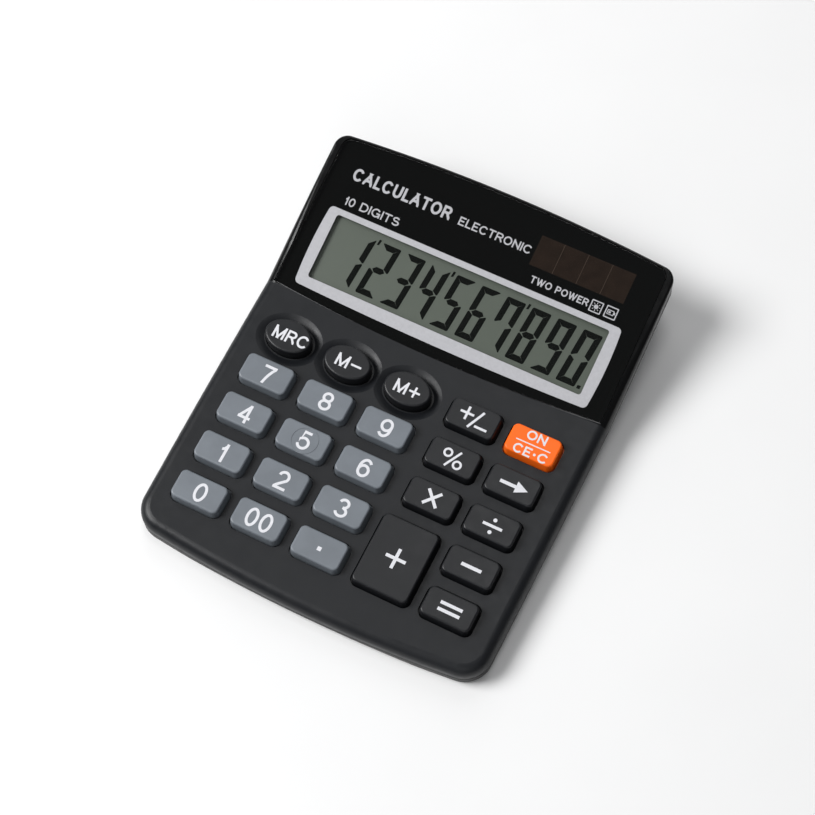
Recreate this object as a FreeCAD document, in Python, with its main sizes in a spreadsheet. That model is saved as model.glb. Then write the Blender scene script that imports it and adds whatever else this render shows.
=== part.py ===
import FreeCAD, Part
import os

import Sketcher
from FreeCAD import Placement, Rotation, Vector

os.makedirs("parts", exist_ok=True)

# Desk-top pocket calculator with a sloping keypad, a steeper display section and a separate rear
# cover.  Millimetres, +Z up, +Y towards the display, +X to the user's right.  The origin is the
# centre of the overall footprint, on the surface that the feet stand on.
#
# Two tilted working frames are used throughout.  Both start on the line where the keypad surface
# meets the display surface: the keypad frame slopes down to the front, the display frame up to the
# rear.  In each, x is across, y runs up the slope and z is the distance above that surface.

DIMENSIONS = {
    # overall case
    "case_width": 105.0,
    "case_length": 128.8,
    "front_height": 7.6,
    "keypad_run": 80.9,
    "keypad_tilt": 2.0,
    "display_tilt": 14.8,
    "front_bow_radius": 410.0,
    "rear_bow_radius": 600.0,
    "side_bow_radius": 3400.0,
    "front_corner_radius": 8.0,
    "rear_corner_radius": 4.0,
    "edge_rounding": 3.0,
    "rear_edge_rounding": 0.7,
    "wall": 1.8,
    "keypad_plate": 1.5,
    "parting_drop": 4.4,
    "groove_height": 0.4,
    "groove_depth": 0.45,
    "cover_strip": 1.2,
    "cover_floor": 1.4,
    "base_height": 0.8,
    "side_taper": 25.0,
    "front_taper": 50.0,
    "rear_taper": 20.0,
    "slab_size": 260.0,
    "slab_depth": 60.0,
    "post_height": 60.0,
    # display window panel
    "seam_bow_radius": 580.0,
    "seam_advance": 1.6,
    "lens_side_inset": 2.2,
    "lens_rear_inset": 0.8,
    "lens_gap": 0.1,
    "lens_thickness": 1.4,
    "tape_thickness": 0.15,
    "window_floor": 1.2,
    "lens_corner_radius": 3.0,
    "lens_edge": 0.35,
    "tape_hole_margin": 0.75,
    "tape_solar_margin": 0.25,
    # liquid crystal display
    "lcd_width": 91.0,
    "lcd_depth": 25.6,
    "lcd_window_width": 84.0,
    "lcd_window_depth": 20.0,
    "lcd_centre": 15.3,
    "glass_sheet": 0.55,
    "lcd_ledge": 2.2,
    "film_thickness": 0.2,
    "layer_gap": 0.05,
    "film_margin": 0.5,
    # solar cell
    "solar_centre_x": 28.0,
    "solar_centre_y": 37.5,
    "solar_width": 31.0,
    "solar_depth": 10.4,
    "solar_window_width": 28.0,
    "solar_window_depth": 9.0,
    "solar_thickness": 1.1,
    "wire_diameter": 0.9,
    "wire_pitch": 3.0,
    "wire_start": -13.0,
    "wire_landing_y": 32.5,
    # keypad grid
    "column_pitch": 18.15,
    "row_pitch": 12.65,
    "first_column": -37.7,
    "operator_column": 19.05,
    "last_column": 36.85,
    "memory_row": -13.65,
    "memory_pitch": 18.4,
    # key caps
    "key_width": 15.1,
    "key_depth": 9.0,
    "key_corner": 2.0,
    "plus_width": 17.1,
    "plus_depth": 21.6,
    "plus_x": 17.95,
    "key_rise": 2.7,
    "key_draft": 6.0,
    "key_edge": 0.6,
    "key_gap": 0.3,
    "key_roof": 1.2,
    "key_skin": 1.7,
    "flange_margin": 0.75,
    "flange_thickness": 0.7,
    "flange_clearance": 0.1,
    "plunger_diameter": 4.0,
    "oval_width": 13.7,
    "oval_depth": 9.7,
    "oval_edge": 0.7,
    "dish_margin": 2.9,
    "dish_depth": 0.9,
    # switch membrane and circuit board
    "dome_height": 1.3,
    "dome_base_radius": 3.9,
    "dome_top_radius": 2.3,
    "dome_skin": 0.35,
    "membrane_clearance": 0.15,
    "sheet_thickness": 0.5,
    "board_thickness": 0.8,
    "board_width": 90.0,
    "board_front": -74.5,
    "board_rear": 34.5,
    "membrane_width": 88.0,
    "membrane_front": -70.0,
    "membrane_rear": -7.5,
    # fasteners
    "boss_radius": 1.6,
    "board_screw_x": 38.0,
    "board_screw_front_y": -3.2,
    "board_screw_rear_y": 31.4,
    "board_screw_left_x": -40.0,
    "board_screw_inner_x": 7.5,
    "board_screw_head": 1.5,
    "board_screw_head_height": 0.9,
    "board_screw_shank": 0.8,
    "board_screw_length": 3.6,
    "peg_radius": 0.8,
    "peg_clearance": 0.05,
    "peg_left_x": -28.6,
    "peg_middle_x": 8.8,
    "peg_right_x": 27.9,
    "peg_y": -71.8,
    "case_boss_radius": 2.3,
    "rear_screw_y": 54.6,
    "front_screw_x": 47.6,
    "front_screw_y": -56.0,
    "middle_screw_x": 45.9,
    "middle_screw_y": 14.0,
    "notch_clearance": 1.4,
    "post_wall": 1.0,
    "drive_reach": 0.6,
    "drive_arm": 0.14,
    "drive_depth": 0.6,
    "case_screw_head": 1.9,
    "case_screw_head_height": 1.0,
    "case_screw_shank": 0.9,
    "case_screw_length": 4.2,
    "screw_seat": 1.4,
    "front_seat_height": 2.0,
    "middle_seat_height": 3.4,
    "rear_seat_height": 9.0,
    "hole_clearance": 0.3,
    # button cell and electronics
    "cell_diameter": 11.6,
    "cell_height": 3.05,
    "cell_x": -25.0,
    "cell_y": 22.0,
    "cell_edge": 0.4,
    "cell_can_share": 0.85,
    "cell_cap_step": 1.3,
    "clip_gap": 0.25,
    "contact_thickness": 0.3,
    "clip_width": 5.0,
    "clip_thickness": 0.3,
    "blob_radius": 6.0,
    "blob_height": 1.3,
    "blob_x": 10.0,
    "blob_y": 14.0,
    "capacitor_radius": 2.0,
    "capacitor_height": 5.0,
    "capacitor_edge": 0.3,
    "capacitor_x": -22.0,
    "capacitor_y": 31.8,
    "resistor_length": 3.2,
    "resistor_width": 1.6,
    "resistor_height": 0.6,
    "resistor_count": 3,
    "resistor_first_x": -14.0,
    "resistor_pitch": 5.0,
    "resistor_y": 32.0,
    "ribbon_width": 62.0,
    "ribbon_thickness": 0.2,
    # feet
    "foot_diameter": 8.0,
    "foot_sink": 0.3,
    "foot_gap": 0.1,
    "foot_x": 37.0,
    "foot_front_y": -54.0,
    "foot_rear_y": 48.0,
}

# Columns and rows of the ordinary keys: name, column, row.  Row 0 holds 7 8 9.
DIGIT_KEYS = [
    ("key_7", 0, 0), ("key_8", 1, 0), ("key_9", 2, 0),
    ("key_4", 0, 1), ("key_5", 1, 1), ("key_6", 2, 1),
    ("key_1", 0, 2), ("key_2", 1, 2), ("key_3", 2, 2),
    ("key_0", 0, 3), ("key_double_zero", 1, 3), ("key_point", 2, 3),
]
MEMORY_KEYS = [("key_memory_recall", 0), ("key_memory_minus", 1), ("key_memory_plus", 2)]
OPERATOR_KEYS = [("key_sign", -1), ("key_percent", 0), ("key_multiply", 1)]
LAST_KEYS = [("key_on_clear", -1), ("key_backspace", 0), ("key_divide", 1), ("key_minus", 2),
             ("key_equals", 3)]
PLUS_KEY = "key_plus"

document = FreeCAD.newDocument("pocket_calculator")
sheet = document.addObject("Spreadsheet::Sheet", "dims")
for line, (alias, value) in enumerate(DIMENSIONS.items(), start=1):
    sheet.set(f"A{line}", alias)
    sheet.set(f"B{line}", str(value))
    sheet.setAlias(f"B{line}", alias)
document.recompute()

exported = []


def size(alias):
    """The number held in a named cell of the sheet."""
    return float(sheet.get(alias))


def number(expression):
    """The value of an expression of the sheet's cells."""
    value = sheet.evalExpression(expression)
    return float(getattr(value, "Value", value))


def bind(item, **expressions):
    """Ties properties of an object to expressions of the sheet's cells."""
    for name, expression in expressions.items():
        item.setExpression(name, expression)
    return item


def finish(item, label, place=None):
    """Names an object as an exported sub-part, and places it."""
    item.Label = label
    if place is not None:
        item.Placement = place
    exported.append(item)
    return item


# ---------------------------------------------------------------------------------------------
# working frames
# ---------------------------------------------------------------------------------------------

X_AXIS = Vector(1, 0, 0)
Y_AXIS = Vector(0, 1, 0)


def fold_point():
    """Where the keypad surface meets the display surface, on the centre line."""
    slope = Rotation(X_AXIS, size("keypad_tilt"))
    run = slope.multVec(Vector(0, size("keypad_run"), 0))
    return Vector(0, run.y - size("case_length") / 2, run.z + size("front_height"))


def keypad_frame(x=0.0, y=0.0, z=0.0):
    """Placement of a point given in the keypad frame."""
    frame = Placement(fold_point(), Rotation(X_AXIS, size("keypad_tilt")))
    return frame.multiply(Placement(Vector(x, y, z), Rotation()))


def display_frame(x=0.0, y=0.0, z=0.0):
    """Placement of a point given in the display frame."""
    frame = Placement(fold_point(), Rotation(X_AXIS, size("display_tilt")))
    return frame.multiply(Placement(Vector(x, y, z), Rotation()))


# ---------------------------------------------------------------------------------------------
# small building blocks
# ---------------------------------------------------------------------------------------------

def cylinder(name, radius, height, place):
    """A Part cylinder whose radius and height are expressions."""
    item = document.addObject("Part::Cylinder", name)
    bind(item, Radius=radius, Height=height)
    item.Placement = place
    return item


def cone(name, lower, upper, height, place):
    """A Part cone whose radii and height are expressions."""
    item = document.addObject("Part::Cone", name)
    bind(item, Radius1=lower, Radius2=upper, Height=height)
    item.Placement = place
    return item


def centred_box(name, width, depth, height, place):
    """A Part box centred on its placement in x and y, standing on it in z."""
    item = document.addObject("Part::Box", name)
    bind(item, Length=width, Width=depth, Height=height)
    document.recompute([item])
    corner = Vector(-item.Length.Value / 2, -item.Width.Value / 2, 0)
    item.Placement = place.multiply(Placement(corner, Rotation()))
    return item


def fuse(name, items):
    """Boolean union."""
    item = document.addObject("Part::MultiFuse", name)
    item.Shapes = items
    return item


def common(name, items):
    """Boolean intersection."""
    item = document.addObject("Part::MultiCommon", name)
    item.Shapes = items
    return item


def cut(name, base, tool):
    """Boolean difference."""
    item = document.addObject("Part::Cut", name)
    item.Base = base
    item.Tool = tool
    return item


def group(name, items):
    """Separate identical solids kept together in one sub-part."""
    item = document.addObject("Part::Compound", name)
    item.Links = items
    return item


def rounded(name, base, choices):
    """Rounds the edges of base that the tests in choices select: (test, radius, end radius)."""
    document.recompute()
    edges = []
    for count, edge in enumerate(base.Shape.Edges, start=1):
        for test, radius, end_radius in choices:
            if test(edge):
                edges.append((count, radius, end_radius))
                break
    item = document.addObject("Part::Fillet", name)
    item.Base = base
    item.Edges = edges
    return item


def is_vertical(edge):
    """True for an edge that runs straight up."""
    if len(edge.Vertexes) != 2:
        return False
    first, last = edge.Vertexes[0].Point, edge.Vertexes[1].Point
    return abs(first.x - last.x) < 1e-4 and abs(first.y - last.y) < 1e-4


def origin_plane(body, role):
    """The body's own origin plane with this role."""
    for feature in body.Origin.OriginFeatures:
        if feature.Role == role:
            return feature
    raise ValueError(role)


def sketch_on(body, name, role, offset="0"):
    """A sketch on one of the body's origin planes, moved along its normal by an expression."""
    sketch = body.newObject("Sketcher::SketchObject", name)
    sketch.AttachmentSupport = [(origin_plane(body, role), "")]
    sketch.MapMode = "FlatFace"
    sketch.setExpression("AttachmentOffset.Base.z", offset)
    return sketch


def rounded_rectangle(sketch, width, depth, radius):
    """A centred rectangle with tangent corner arcs: width, depth and radius are expressions."""
    half_x = number(width) / 2
    half_y = number(depth) / 2
    r = number(radius)
    lines = [
        (Vector(-half_x + r, -half_y, 0), Vector(half_x - r, -half_y, 0)),
        (Vector(half_x, -half_y + r, 0), Vector(half_x, half_y - r, 0)),
        (Vector(half_x - r, half_y, 0), Vector(-half_x + r, half_y, 0)),
        (Vector(-half_x, half_y - r, 0), Vector(-half_x, -half_y + r, 0)),
    ]
    centres = [(half_x - r, -half_y + r), (half_x - r, half_y - r),
               (-half_x + r, half_y - r), (-half_x + r, -half_y + r)]
    quarter = FreeCAD.Units.Quantity("90 deg").getValueAs("rad").Value
    for start, end in lines:
        sketch.addGeometry(Part.LineSegment(start, end), False)
    for turn, (x, y) in enumerate(centres):
        circle = Part.Circle(Vector(x, y, 0), Vector(0, 0, 1), r)
        begin = (turn - 1) * quarter
        sketch.addGeometry(Part.ArcOfCircle(circle, begin, begin + quarter), False)
    constraints = []
    for side in range(4):
        arc = 4 + side
        constraints.append(Sketcher.Constraint("Tangent", side, 2, arc, 1))
        constraints.append(Sketcher.Constraint("Tangent", arc, 2, (side + 1) % 4, 1))
    constraints.append(Sketcher.Constraint("Horizontal", 0))
    constraints.append(Sketcher.Constraint("Vertical", 1))
    for arc in (5, 6, 7):
        constraints.append(Sketcher.Constraint("Equal", 4, arc))
    constraints.append(Sketcher.Constraint("Symmetric", 5, 3, 7, 3, -1, 1))
    sketch.addConstraint(constraints)
    bound_sizes = [
        (Sketcher.Constraint("DistanceX", 3, 1, 1, 1, 2 * half_x), width),
        (Sketcher.Constraint("DistanceY", 0, 1, 2, 1, 2 * half_y), depth),
        (Sketcher.Constraint("Radius", 4, r), radius),
    ]
    for constraint, expression in bound_sizes:
        index = sketch.addConstraint(constraint)
        sketch.setExpression(f"Constraints[{index}]", expression)


def ellipse(sketch, width, depth):
    """A centred ellipse: width and depth are expressions."""
    major = Vector(number(width) / 2, 0, 0)
    minor = Vector(0, number(depth) / 2, 0)
    sketch.addGeometry(Part.Ellipse(major, minor, Vector(0, 0, 0)), False)
    sketch.exposeInternalGeometry(0)
    sketch.addConstraint(Sketcher.Constraint("Coincident", 0, 3, -1, 1))
    sketch.addConstraint(Sketcher.Constraint("Horizontal", 1))
    for axis, expression in ((1, width), (2, depth)):
        index = sketch.addConstraint(Sketcher.Constraint("Distance", axis, number(expression)))
        sketch.setExpression(f"Constraints[{index}]", expression)


def circle(sketch, radius):
    """A centred circle whose radius is an expression."""
    start = number(radius)
    sketch.addGeometry(Part.Circle(Vector(0, 0, 0), Vector(0, 0, 1), start), False)
    sketch.addConstraint(Sketcher.Constraint("Coincident", 0, 3, -1, 1))
    index = sketch.addConstraint(Sketcher.Constraint("Radius", 0, start))
    sketch.setExpression(f"Constraints[{index}]", radius)


def pad(body, name, sketch, length, taper=None):
    """Adds material upwards from a sketch, narrowing by the taper angle."""
    feature = body.newObject("PartDesign::Pad", name)
    feature.Profile = sketch
    feature.setExpression("Length", length)
    if taper is not None:
        feature.setExpression("TaperAngle", f"-({taper})")
    sketch.Visibility = False
    return feature


def pocket(body, name, sketch, depth):
    """Removes material upwards from a sketch."""
    feature = body.newObject("PartDesign::Pocket", name)
    feature.Profile = sketch
    feature.Reversed = True
    feature.setExpression("Length", depth)
    sketch.Visibility = False
    return feature


def round_top(body, name, base, radius):
    """Rounds the edges of a feature's highest face."""
    document.recompute()
    heights = [face.CenterOfMass.z for face in base.Shape.Faces]
    top = heights.index(max(heights)) + 1
    feature = body.newObject("PartDesign::Fillet", name)
    feature.Base = (base, [f"Face{top}"])
    feature.setExpression("Radius", radius)
    return feature


# ---------------------------------------------------------------------------------------------
# case: the outline seen from above, and the two sloping surfaces
# ---------------------------------------------------------------------------------------------

def outline(name, inset, front="front_corner_radius", rear="rear_corner_radius"):
    """A tall block with the bowed plan outline of the case, drawn in by inset millimetres."""
    half_length = size("case_length") / 2
    half_width = size("case_width") / 2
    front_radius = size("front_bow_radius")
    rear_radius = size("rear_bow_radius")
    side_radius = size("side_bow_radius")
    centres = [
        ("front_bow_radius", Vector(0, -half_length + front_radius, 0)),
        ("rear_bow_radius", Vector(0, half_length - rear_radius, 0)),
        ("side_bow_radius", Vector(side_radius - half_width, 0, 0)),
        ("side_bow_radius", Vector(half_width - side_radius, 0, 0)),
    ]
    discs = []
    for count, (radius, centre) in enumerate(centres):
        disc = cylinder(f"{name}_bow_{count}", f"dims.{radius} - {inset}", "dims.post_height",
                        Placement(centre, Rotation()))
        discs.append(disc)
    block = common(f"{name}_block", discs)
    front_corner = size(front) - inset
    rear_corner = max(size(rear) - inset, 1.0)
    return rounded(name, block, [
        (lambda edge: is_vertical(edge) and edge.Vertexes[0].Y < 0, front_corner, front_corner),
        (lambda edge: is_vertical(edge) and edge.Vertexes[0].Y > 0, rear_corner, rear_corner),
    ])


def below_surface(name, keypad_drop, display_drop):
    """All the space lower than the case surface sunk by two drops, one for each section."""
    slabs = []
    for part, frame, drop in (("keypad", keypad_frame, keypad_drop),
                              ("display", display_frame, display_drop)):
        slab = centred_box(f"{name}_{part}", "dims.slab_size", "dims.slab_size",
                           "dims.slab_depth", frame(0, 0, -drop - size("slab_depth")))
        slabs.append(slab)
    return fuse(name, slabs)


def above_height(name, height):
    """All the space above a level height."""
    return centred_box(name, "dims.slab_size", "dims.slab_size", "dims.slab_depth",
                       Placement(Vector(0, 0, height), Rotation()))


def taper_cutters(name, inset):
    """Blocks outside the sloping lower walls of the rear cover, drawn in by inset."""
    drop = size("parting_drop") + size("cover_strip")
    reach = size("slab_size")
    half_width = size("case_width") / 2 - inset
    cutters = []
    for side in (-1, 1):
        for part, frame in (("keypad", keypad_frame), ("display", display_frame)):
            lean = Placement(Vector(0, 0, 0), Rotation(Y_AXIS, -side * size("side_taper")))
            corner = Placement(Vector(side * reach / 2, 0, -reach / 2), Rotation())
            place = frame(side * half_width, 0, -drop)
            place = place.multiply(lean.inverse()).multiply(corner)
            cutters.append(centred_box(f"{name}_{part}_{'right' if side > 0 else 'left'}",
                                       "dims.slab_size", "2 * dims.slab_size",
                                       "dims.slab_size / 2", place))
    ends = ((-1, keypad_frame, "front_taper"), (1, display_frame, "rear_taper"))
    for end, frame, taper in ends:
        edge_y = end * size("case_length") / 2
        tilt = size("keypad_tilt") if end < 0 else size("display_tilt")
        level = frame(0, 0, -drop)
        rise = Rotation(X_AXIS, tilt).multVec(Vector(0, 1, 0))
        edge_z = level.Base.z + (edge_y - level.Base.y) * rise.z / rise.y
        lean = Rotation(X_AXIS, -end * size(taper))
        place = Placement(Vector(0, edge_y - end * inset, edge_z), lean)
        place = place.multiply(Placement(Vector(0, end * reach / 2, -reach / 2), Rotation()))
        cutters.append(centred_box(f"{name}_end_{'rear' if end > 0 else 'front'}",
                                   "dims.slab_size", "dims.slab_size", "dims.slab_size / 2",
                                   place))
    return fuse(name, cutters)


# ---------------------------------------------------------------------------------------------
# keypad layout
# ---------------------------------------------------------------------------------------------

def row_y(row):
    """Height up the keypad slope of a row of keys; row 0 holds 7 8 9."""
    return size("memory_row") - (row + 1) * size("row_pitch")


def column_x(column):
    """Distance across of one of the three left-hand columns."""
    return size("first_column") + column * size("column_pitch")


def key_layout():
    """Every rectangular key of ordinary size: name, x, y."""
    layout = []
    for name, column, row in DIGIT_KEYS:
        layout.append((name, column_x(column), row_y(row)))
    for name, row in OPERATOR_KEYS:
        layout.append((name, size("operator_column"), row_y(row)))
    for name, row in LAST_KEYS:
        layout.append((name, size("last_column"), row_y(row)))
    return layout


def memory_layout():
    """The three oval keys: name, x, y."""
    return [(name, size("first_column") + column * size("memory_pitch"), size("memory_row"))
            for name, column in MEMORY_KEYS]


def plus_position():
    """Centre of the double-height key, over the last two rows."""
    return size("plus_x"), (row_y(2) + row_y(3)) / 2


def all_key_centres():
    """The centre of every key in the keypad frame."""
    centres = [(x, y) for _, x, y in key_layout() + memory_layout()]
    centres.append(plus_position())
    return centres


# ---------------------------------------------------------------------------------------------
# key caps
# ---------------------------------------------------------------------------------------------

FLANGE_TOP = "-(dims.keypad_plate + dims.flange_clearance)"
FLANGE_BOTTOM = "-(dims.keypad_plate + dims.flange_clearance + dims.flange_thickness)"
FLANGE_LEVEL = "dims.keypad_plate + dims.flange_clearance + dims.flange_thickness"
ROOF_DEPTH = "dims.key_rise - dims.key_roof + " + FLANGE_LEVEL


def add_hollow_and_plunger(body, name, hollow_width, hollow_depth, shape):
    """Hollows a key from below and leaves the plunger that presses the switch dome."""
    sketch = sketch_on(body, f"{name}_hollow", "XY_Plane", FLANGE_BOTTOM)
    if shape == "ellipse":
        ellipse(sketch, hollow_width, hollow_depth)
    else:
        rounded_rectangle(sketch, hollow_width, hollow_depth, "dims.key_corner / 2")
    pocket(body, f"{name}_inside", sketch, ROOF_DEPTH)
    plunger = sketch_on(body, f"{name}_plunger_disc", "XY_Plane", FLANGE_BOTTOM)
    circle(plunger, "dims.plunger_diameter / 2")
    return pad(body, f"{name}_plunger", plunger, ROOF_DEPTH + " + dims.key_roof / 2")


def key_cap(name, x, y, width="key_width", depth="key_depth"):
    """A rectangular key: retaining flange, drafted cap with a rounded top, hollow and plunger."""
    body = document.addObject("PartDesign::Body", name)
    flange = sketch_on(body, f"{name}_flange_outline", "XY_Plane", FLANGE_BOTTOM)
    rounded_rectangle(flange, f"dims.{width} + 2 * dims.flange_margin",
                      f"dims.{depth} + 2 * dims.flange_margin", "dims.key_corner")
    pad(body, f"{name}_flange", flange, "dims.flange_thickness")
    cap = sketch_on(body, f"{name}_cap_outline", "XY_Plane", FLANGE_TOP)
    rounded_rectangle(cap, f"dims.{width}", f"dims.{depth}", "dims.key_corner")
    walls = pad(body, f"{name}_cap", cap,
                "dims.key_rise + dims.keypad_plate + dims.flange_clearance", "dims.key_draft")
    round_top(body, f"{name}_edge", walls, "dims.key_edge")
    body.Tip = add_hollow_and_plunger(
        body, name, f"dims.{width} - 2 * dims.key_skin", f"dims.{depth} - 2 * dims.key_skin",
        "rectangle")
    return finish(body, name, keypad_frame(x, y))


def oval_key(name, x, y):
    """An oval memory key with a softly domed edge, on the same flange and plunger."""
    body = document.addObject("PartDesign::Body", name)
    flange = sketch_on(body, f"{name}_flange_outline", "XY_Plane", FLANGE_BOTTOM)
    ellipse(flange, "dims.oval_width + 2 * dims.flange_margin",
            "dims.oval_depth + 2 * dims.flange_margin")
    pad(body, f"{name}_flange", flange, "dims.flange_thickness")
    cap = sketch_on(body, f"{name}_cap_outline", "XY_Plane", FLANGE_TOP)
    ellipse(cap, "dims.oval_width", "dims.oval_depth")
    walls = pad(body, f"{name}_cap", cap,
                "dims.key_rise + dims.keypad_plate + dims.flange_clearance")
    round_top(body, f"{name}_edge", walls, "dims.oval_edge")
    body.Tip = add_hollow_and_plunger(
        body, name, "dims.oval_width - 2 * dims.key_skin", "dims.oval_depth - 2 * dims.key_skin",
        "ellipse")
    return finish(body, name, keypad_frame(x, y))


# ---------------------------------------------------------------------------------------------
# front case
# ---------------------------------------------------------------------------------------------

def near(value, target, margin=0.05):
    """True when two lengths agree."""
    return abs(value - target) < margin


def surface_height(y, keypad_drop=0.0, display_drop=0.0):
    """Height of the case surface on the centre line, sunk by the two drops."""
    heights = []
    for frame, tilt, drop in ((keypad_frame, "keypad_tilt", keypad_drop),
                              (display_frame, "display_tilt", display_drop)):
        level = frame(0, 0, -drop).Base
        rise = Rotation(X_AXIS, size(tilt)).multVec(Vector(0, 1, 0))
        heights.append(level.z + (y - level.y) * rise.z / rise.y)
    return max(heights)


def on_surface(edge):
    """True for an edge that lies in the case surface."""
    for vertex in edge.Vertexes:
        if not near(vertex.Z, surface_height(vertex.Y)):
            return False
    middle = edge.valueAt((edge.FirstParameter + edge.LastParameter) / 2)
    return near(middle.z, surface_height(middle.y))


def upper_outer():
    """Outside of the front case, from the parting line up, with its rounded upper edge."""
    block = outline("case_outline", 0.0)
    drop = size("parting_drop")
    upper = common("case_below_surface", [block, below_surface("case_surface", 0.0, 0.0)])
    solid = cut("case_above_parting", upper, below_surface("parting_surface", drop, drop))
    rear_y = size("case_length") / 2 - size("rear_corner_radius") - 1.0
    soft = size("edge_rounding")
    crisp = size("rear_edge_rounding")

    def is_rear(edge):
        return on_surface(edge) and min(vertex.Y for vertex in edge.Vertexes) > rear_y + 2.0

    def is_rear_corner(edge):
        lowest = min(vertex.Y for vertex in edge.Vertexes)
        return on_surface(edge) and rear_y - 1.5 < lowest <= rear_y + 2.0

    def is_fold(edge):
        fold = fold_point()
        return all(near(vertex.Y, fold.y) and near(vertex.Z, fold.z) for vertex in edge.Vertexes)

    softened = rounded("front_case_outside", solid, [
        (is_fold, 0.0, 0.0),
        (is_rear, crisp, crisp),
        (is_rear_corner, crisp, crisp),
        (on_surface, soft, soft),
    ])
    softened.Edges = [choice for choice in softened.Edges if choice[1] > 0]
    return softened


def case_cavity():
    """Space inside the front case, under both plates."""
    wall = size("wall")
    ceiling = below_surface("ceiling", size("keypad_plate"), display_ceiling())
    return common("case_cavity", [outline("cavity_outline", wall), ceiling])


def window_drop():
    """Depth of the recess that the window panel is taped into."""
    return size("lens_thickness") + size("tape_thickness")


def display_ceiling():
    """Depth of the underside of the plate beneath the window panel."""
    return window_drop() + size("window_floor")


def window_block(name, gap):
    """A tall block with the plan outline of the window panel, drawn in by gap."""
    half_length = size("case_length") / 2
    half_width = size("case_width") / 2
    side_inset = size("lens_side_inset") + gap
    rear_inset = size("lens_rear_inset") + gap
    fold = fold_point()
    centres = [
        ("rear_bow_radius", rear_inset, Vector(0, half_length - size("rear_bow_radius"), 0)),
        ("side_bow_radius", side_inset, Vector(size("side_bow_radius") - half_width, 0, 0)),
        ("side_bow_radius", side_inset, Vector(half_width - size("side_bow_radius"), 0, 0)),
        ("seam_bow_radius", gap,
         Vector(0, fold.y - size("seam_advance") + size("seam_bow_radius"), 0)),
    ]
    discs = []
    for count, (radius, inset, centre) in enumerate(centres):
        discs.append(cylinder(f"{name}_bow_{count}", f"dims.{radius} - {inset}",
                              "dims.post_height", Placement(centre, Rotation())))
    block = common(f"{name}_block", discs)
    corner = size("lens_corner_radius")
    return rounded(name, block, [
        (lambda edge: is_vertical(edge) and edge.Vertexes[0].Y > fold.y + corner, corner, corner),
    ])


def display_slab(name, drop):
    """All the space lower than the display surface sunk by drop."""
    return centred_box(name, "dims.slab_size", "dims.slab_size", "dims.slab_depth",
                       display_frame(0, 0, -drop - size("slab_depth")))


def key_opening(name, x, y, width, depth):
    """A block that cuts the hole for a rectangular key."""
    block = centred_box(f"{name}_hole_block", f"dims.{width} + 2 * dims.key_gap",
                        f"dims.{depth} + 2 * dims.key_gap", "3 * dims.keypad_plate",
                        keypad_frame(x, y, -2 * size("keypad_plate")))
    corner = size("key_corner") + size("key_gap")
    tilt = Rotation(X_AXIS, size("keypad_tilt"))
    upright = tilt.multVec(Vector(0, 0, 1))

    def is_corner(edge):
        first, last = edge.Vertexes[0].Point, edge.Vertexes[1].Point
        run = last - first
        return abs(run.dot(upright)) > 0.999 * run.Length

    return rounded(f"{name}_hole", block, [(is_corner, corner, corner)])


# Sections of the dish round an oval key: name, share of the dish's margin, share of its depth.
DISH_SECTIONS = [("floor", 0.22, 1.0), ("slope", 0.58, 0.48), ("brim", 0.90, 0.09),
                 ("rim", 1.15, -0.06)]


def oval_opening(name, x, y):
    """The hole for an oval key and the soft dish around it."""
    body = document.addObject("PartDesign::Body", f"{name}_opening")
    hole = sketch_on(body, f"{name}_hole_outline", "XY_Plane", "-2 * dims.keypad_plate")
    ellipse(hole, "dims.oval_width + 2 * dims.key_gap", "dims.oval_depth + 2 * dims.key_gap")
    pad(body, f"{name}_hole", hole, "3 * dims.keypad_plate")
    sections = []
    for level, margin_share, depth_share in DISH_SECTIONS:
        sketch = sketch_on(body, f"{name}_dish_{level}", "XY_Plane",
                           f"-({depth_share}) * dims.dish_depth")
        spread = f"{2 * margin_share} * dims.dish_margin"
        ellipse(sketch, f"dims.oval_width + {spread}", f"dims.oval_depth + {spread}")
        sections.append(sketch)
    dish = body.newObject("PartDesign::AdditiveLoft", f"{name}_dish")
    dish.Profile = sections[0]
    dish.Sections = sections[1:]
    body.Tip = dish
    body.Placement = keypad_frame(x, y)
    return body


def board_screw_points():
    """Where screws hold the circuit board, in the keypad frame."""
    middle = (size("operator_column") + column_x(2)) / 2
    between_rows = (row_y(0) + row_y(1)) / 2
    across = size("board_screw_x")
    front_y = size("board_screw_front_y")
    rear_y = size("board_screw_rear_y")
    return [(-across, front_y), (across, front_y), (middle, between_rows),
            (size("board_screw_left_x"), rear_y), (size("board_screw_inner_x"), rear_y)]


def peg_points():
    """Where pegs on the front case locate the front edge of the circuit board."""
    return [(size(alias), size("peg_y")) for alias in ("peg_left_x", "peg_middle_x",
                                                       "peg_right_x")]


def case_screw_points():
    """Where screws join the two halves of the case: x, y and height of the screw seat."""
    front = size("front_seat_height")
    points = [(0.0, size("rear_screw_y"), size("rear_seat_height"))]
    for side in (-1, 1):
        points.append((side * size("front_screw_x"), size("front_screw_y"), front))
        points.append((side * size("middle_screw_x"), size("middle_screw_y"),
                       size("middle_seat_height")))
    return points


def board_top():
    """Depth of the circuit board's upper face below the keypad surface."""
    gap = size("keypad_plate") + size("flange_clearance") + size("flange_thickness")
    return gap + size("layer_gap") + size("dome_height") + size("sheet_thickness")


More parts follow.
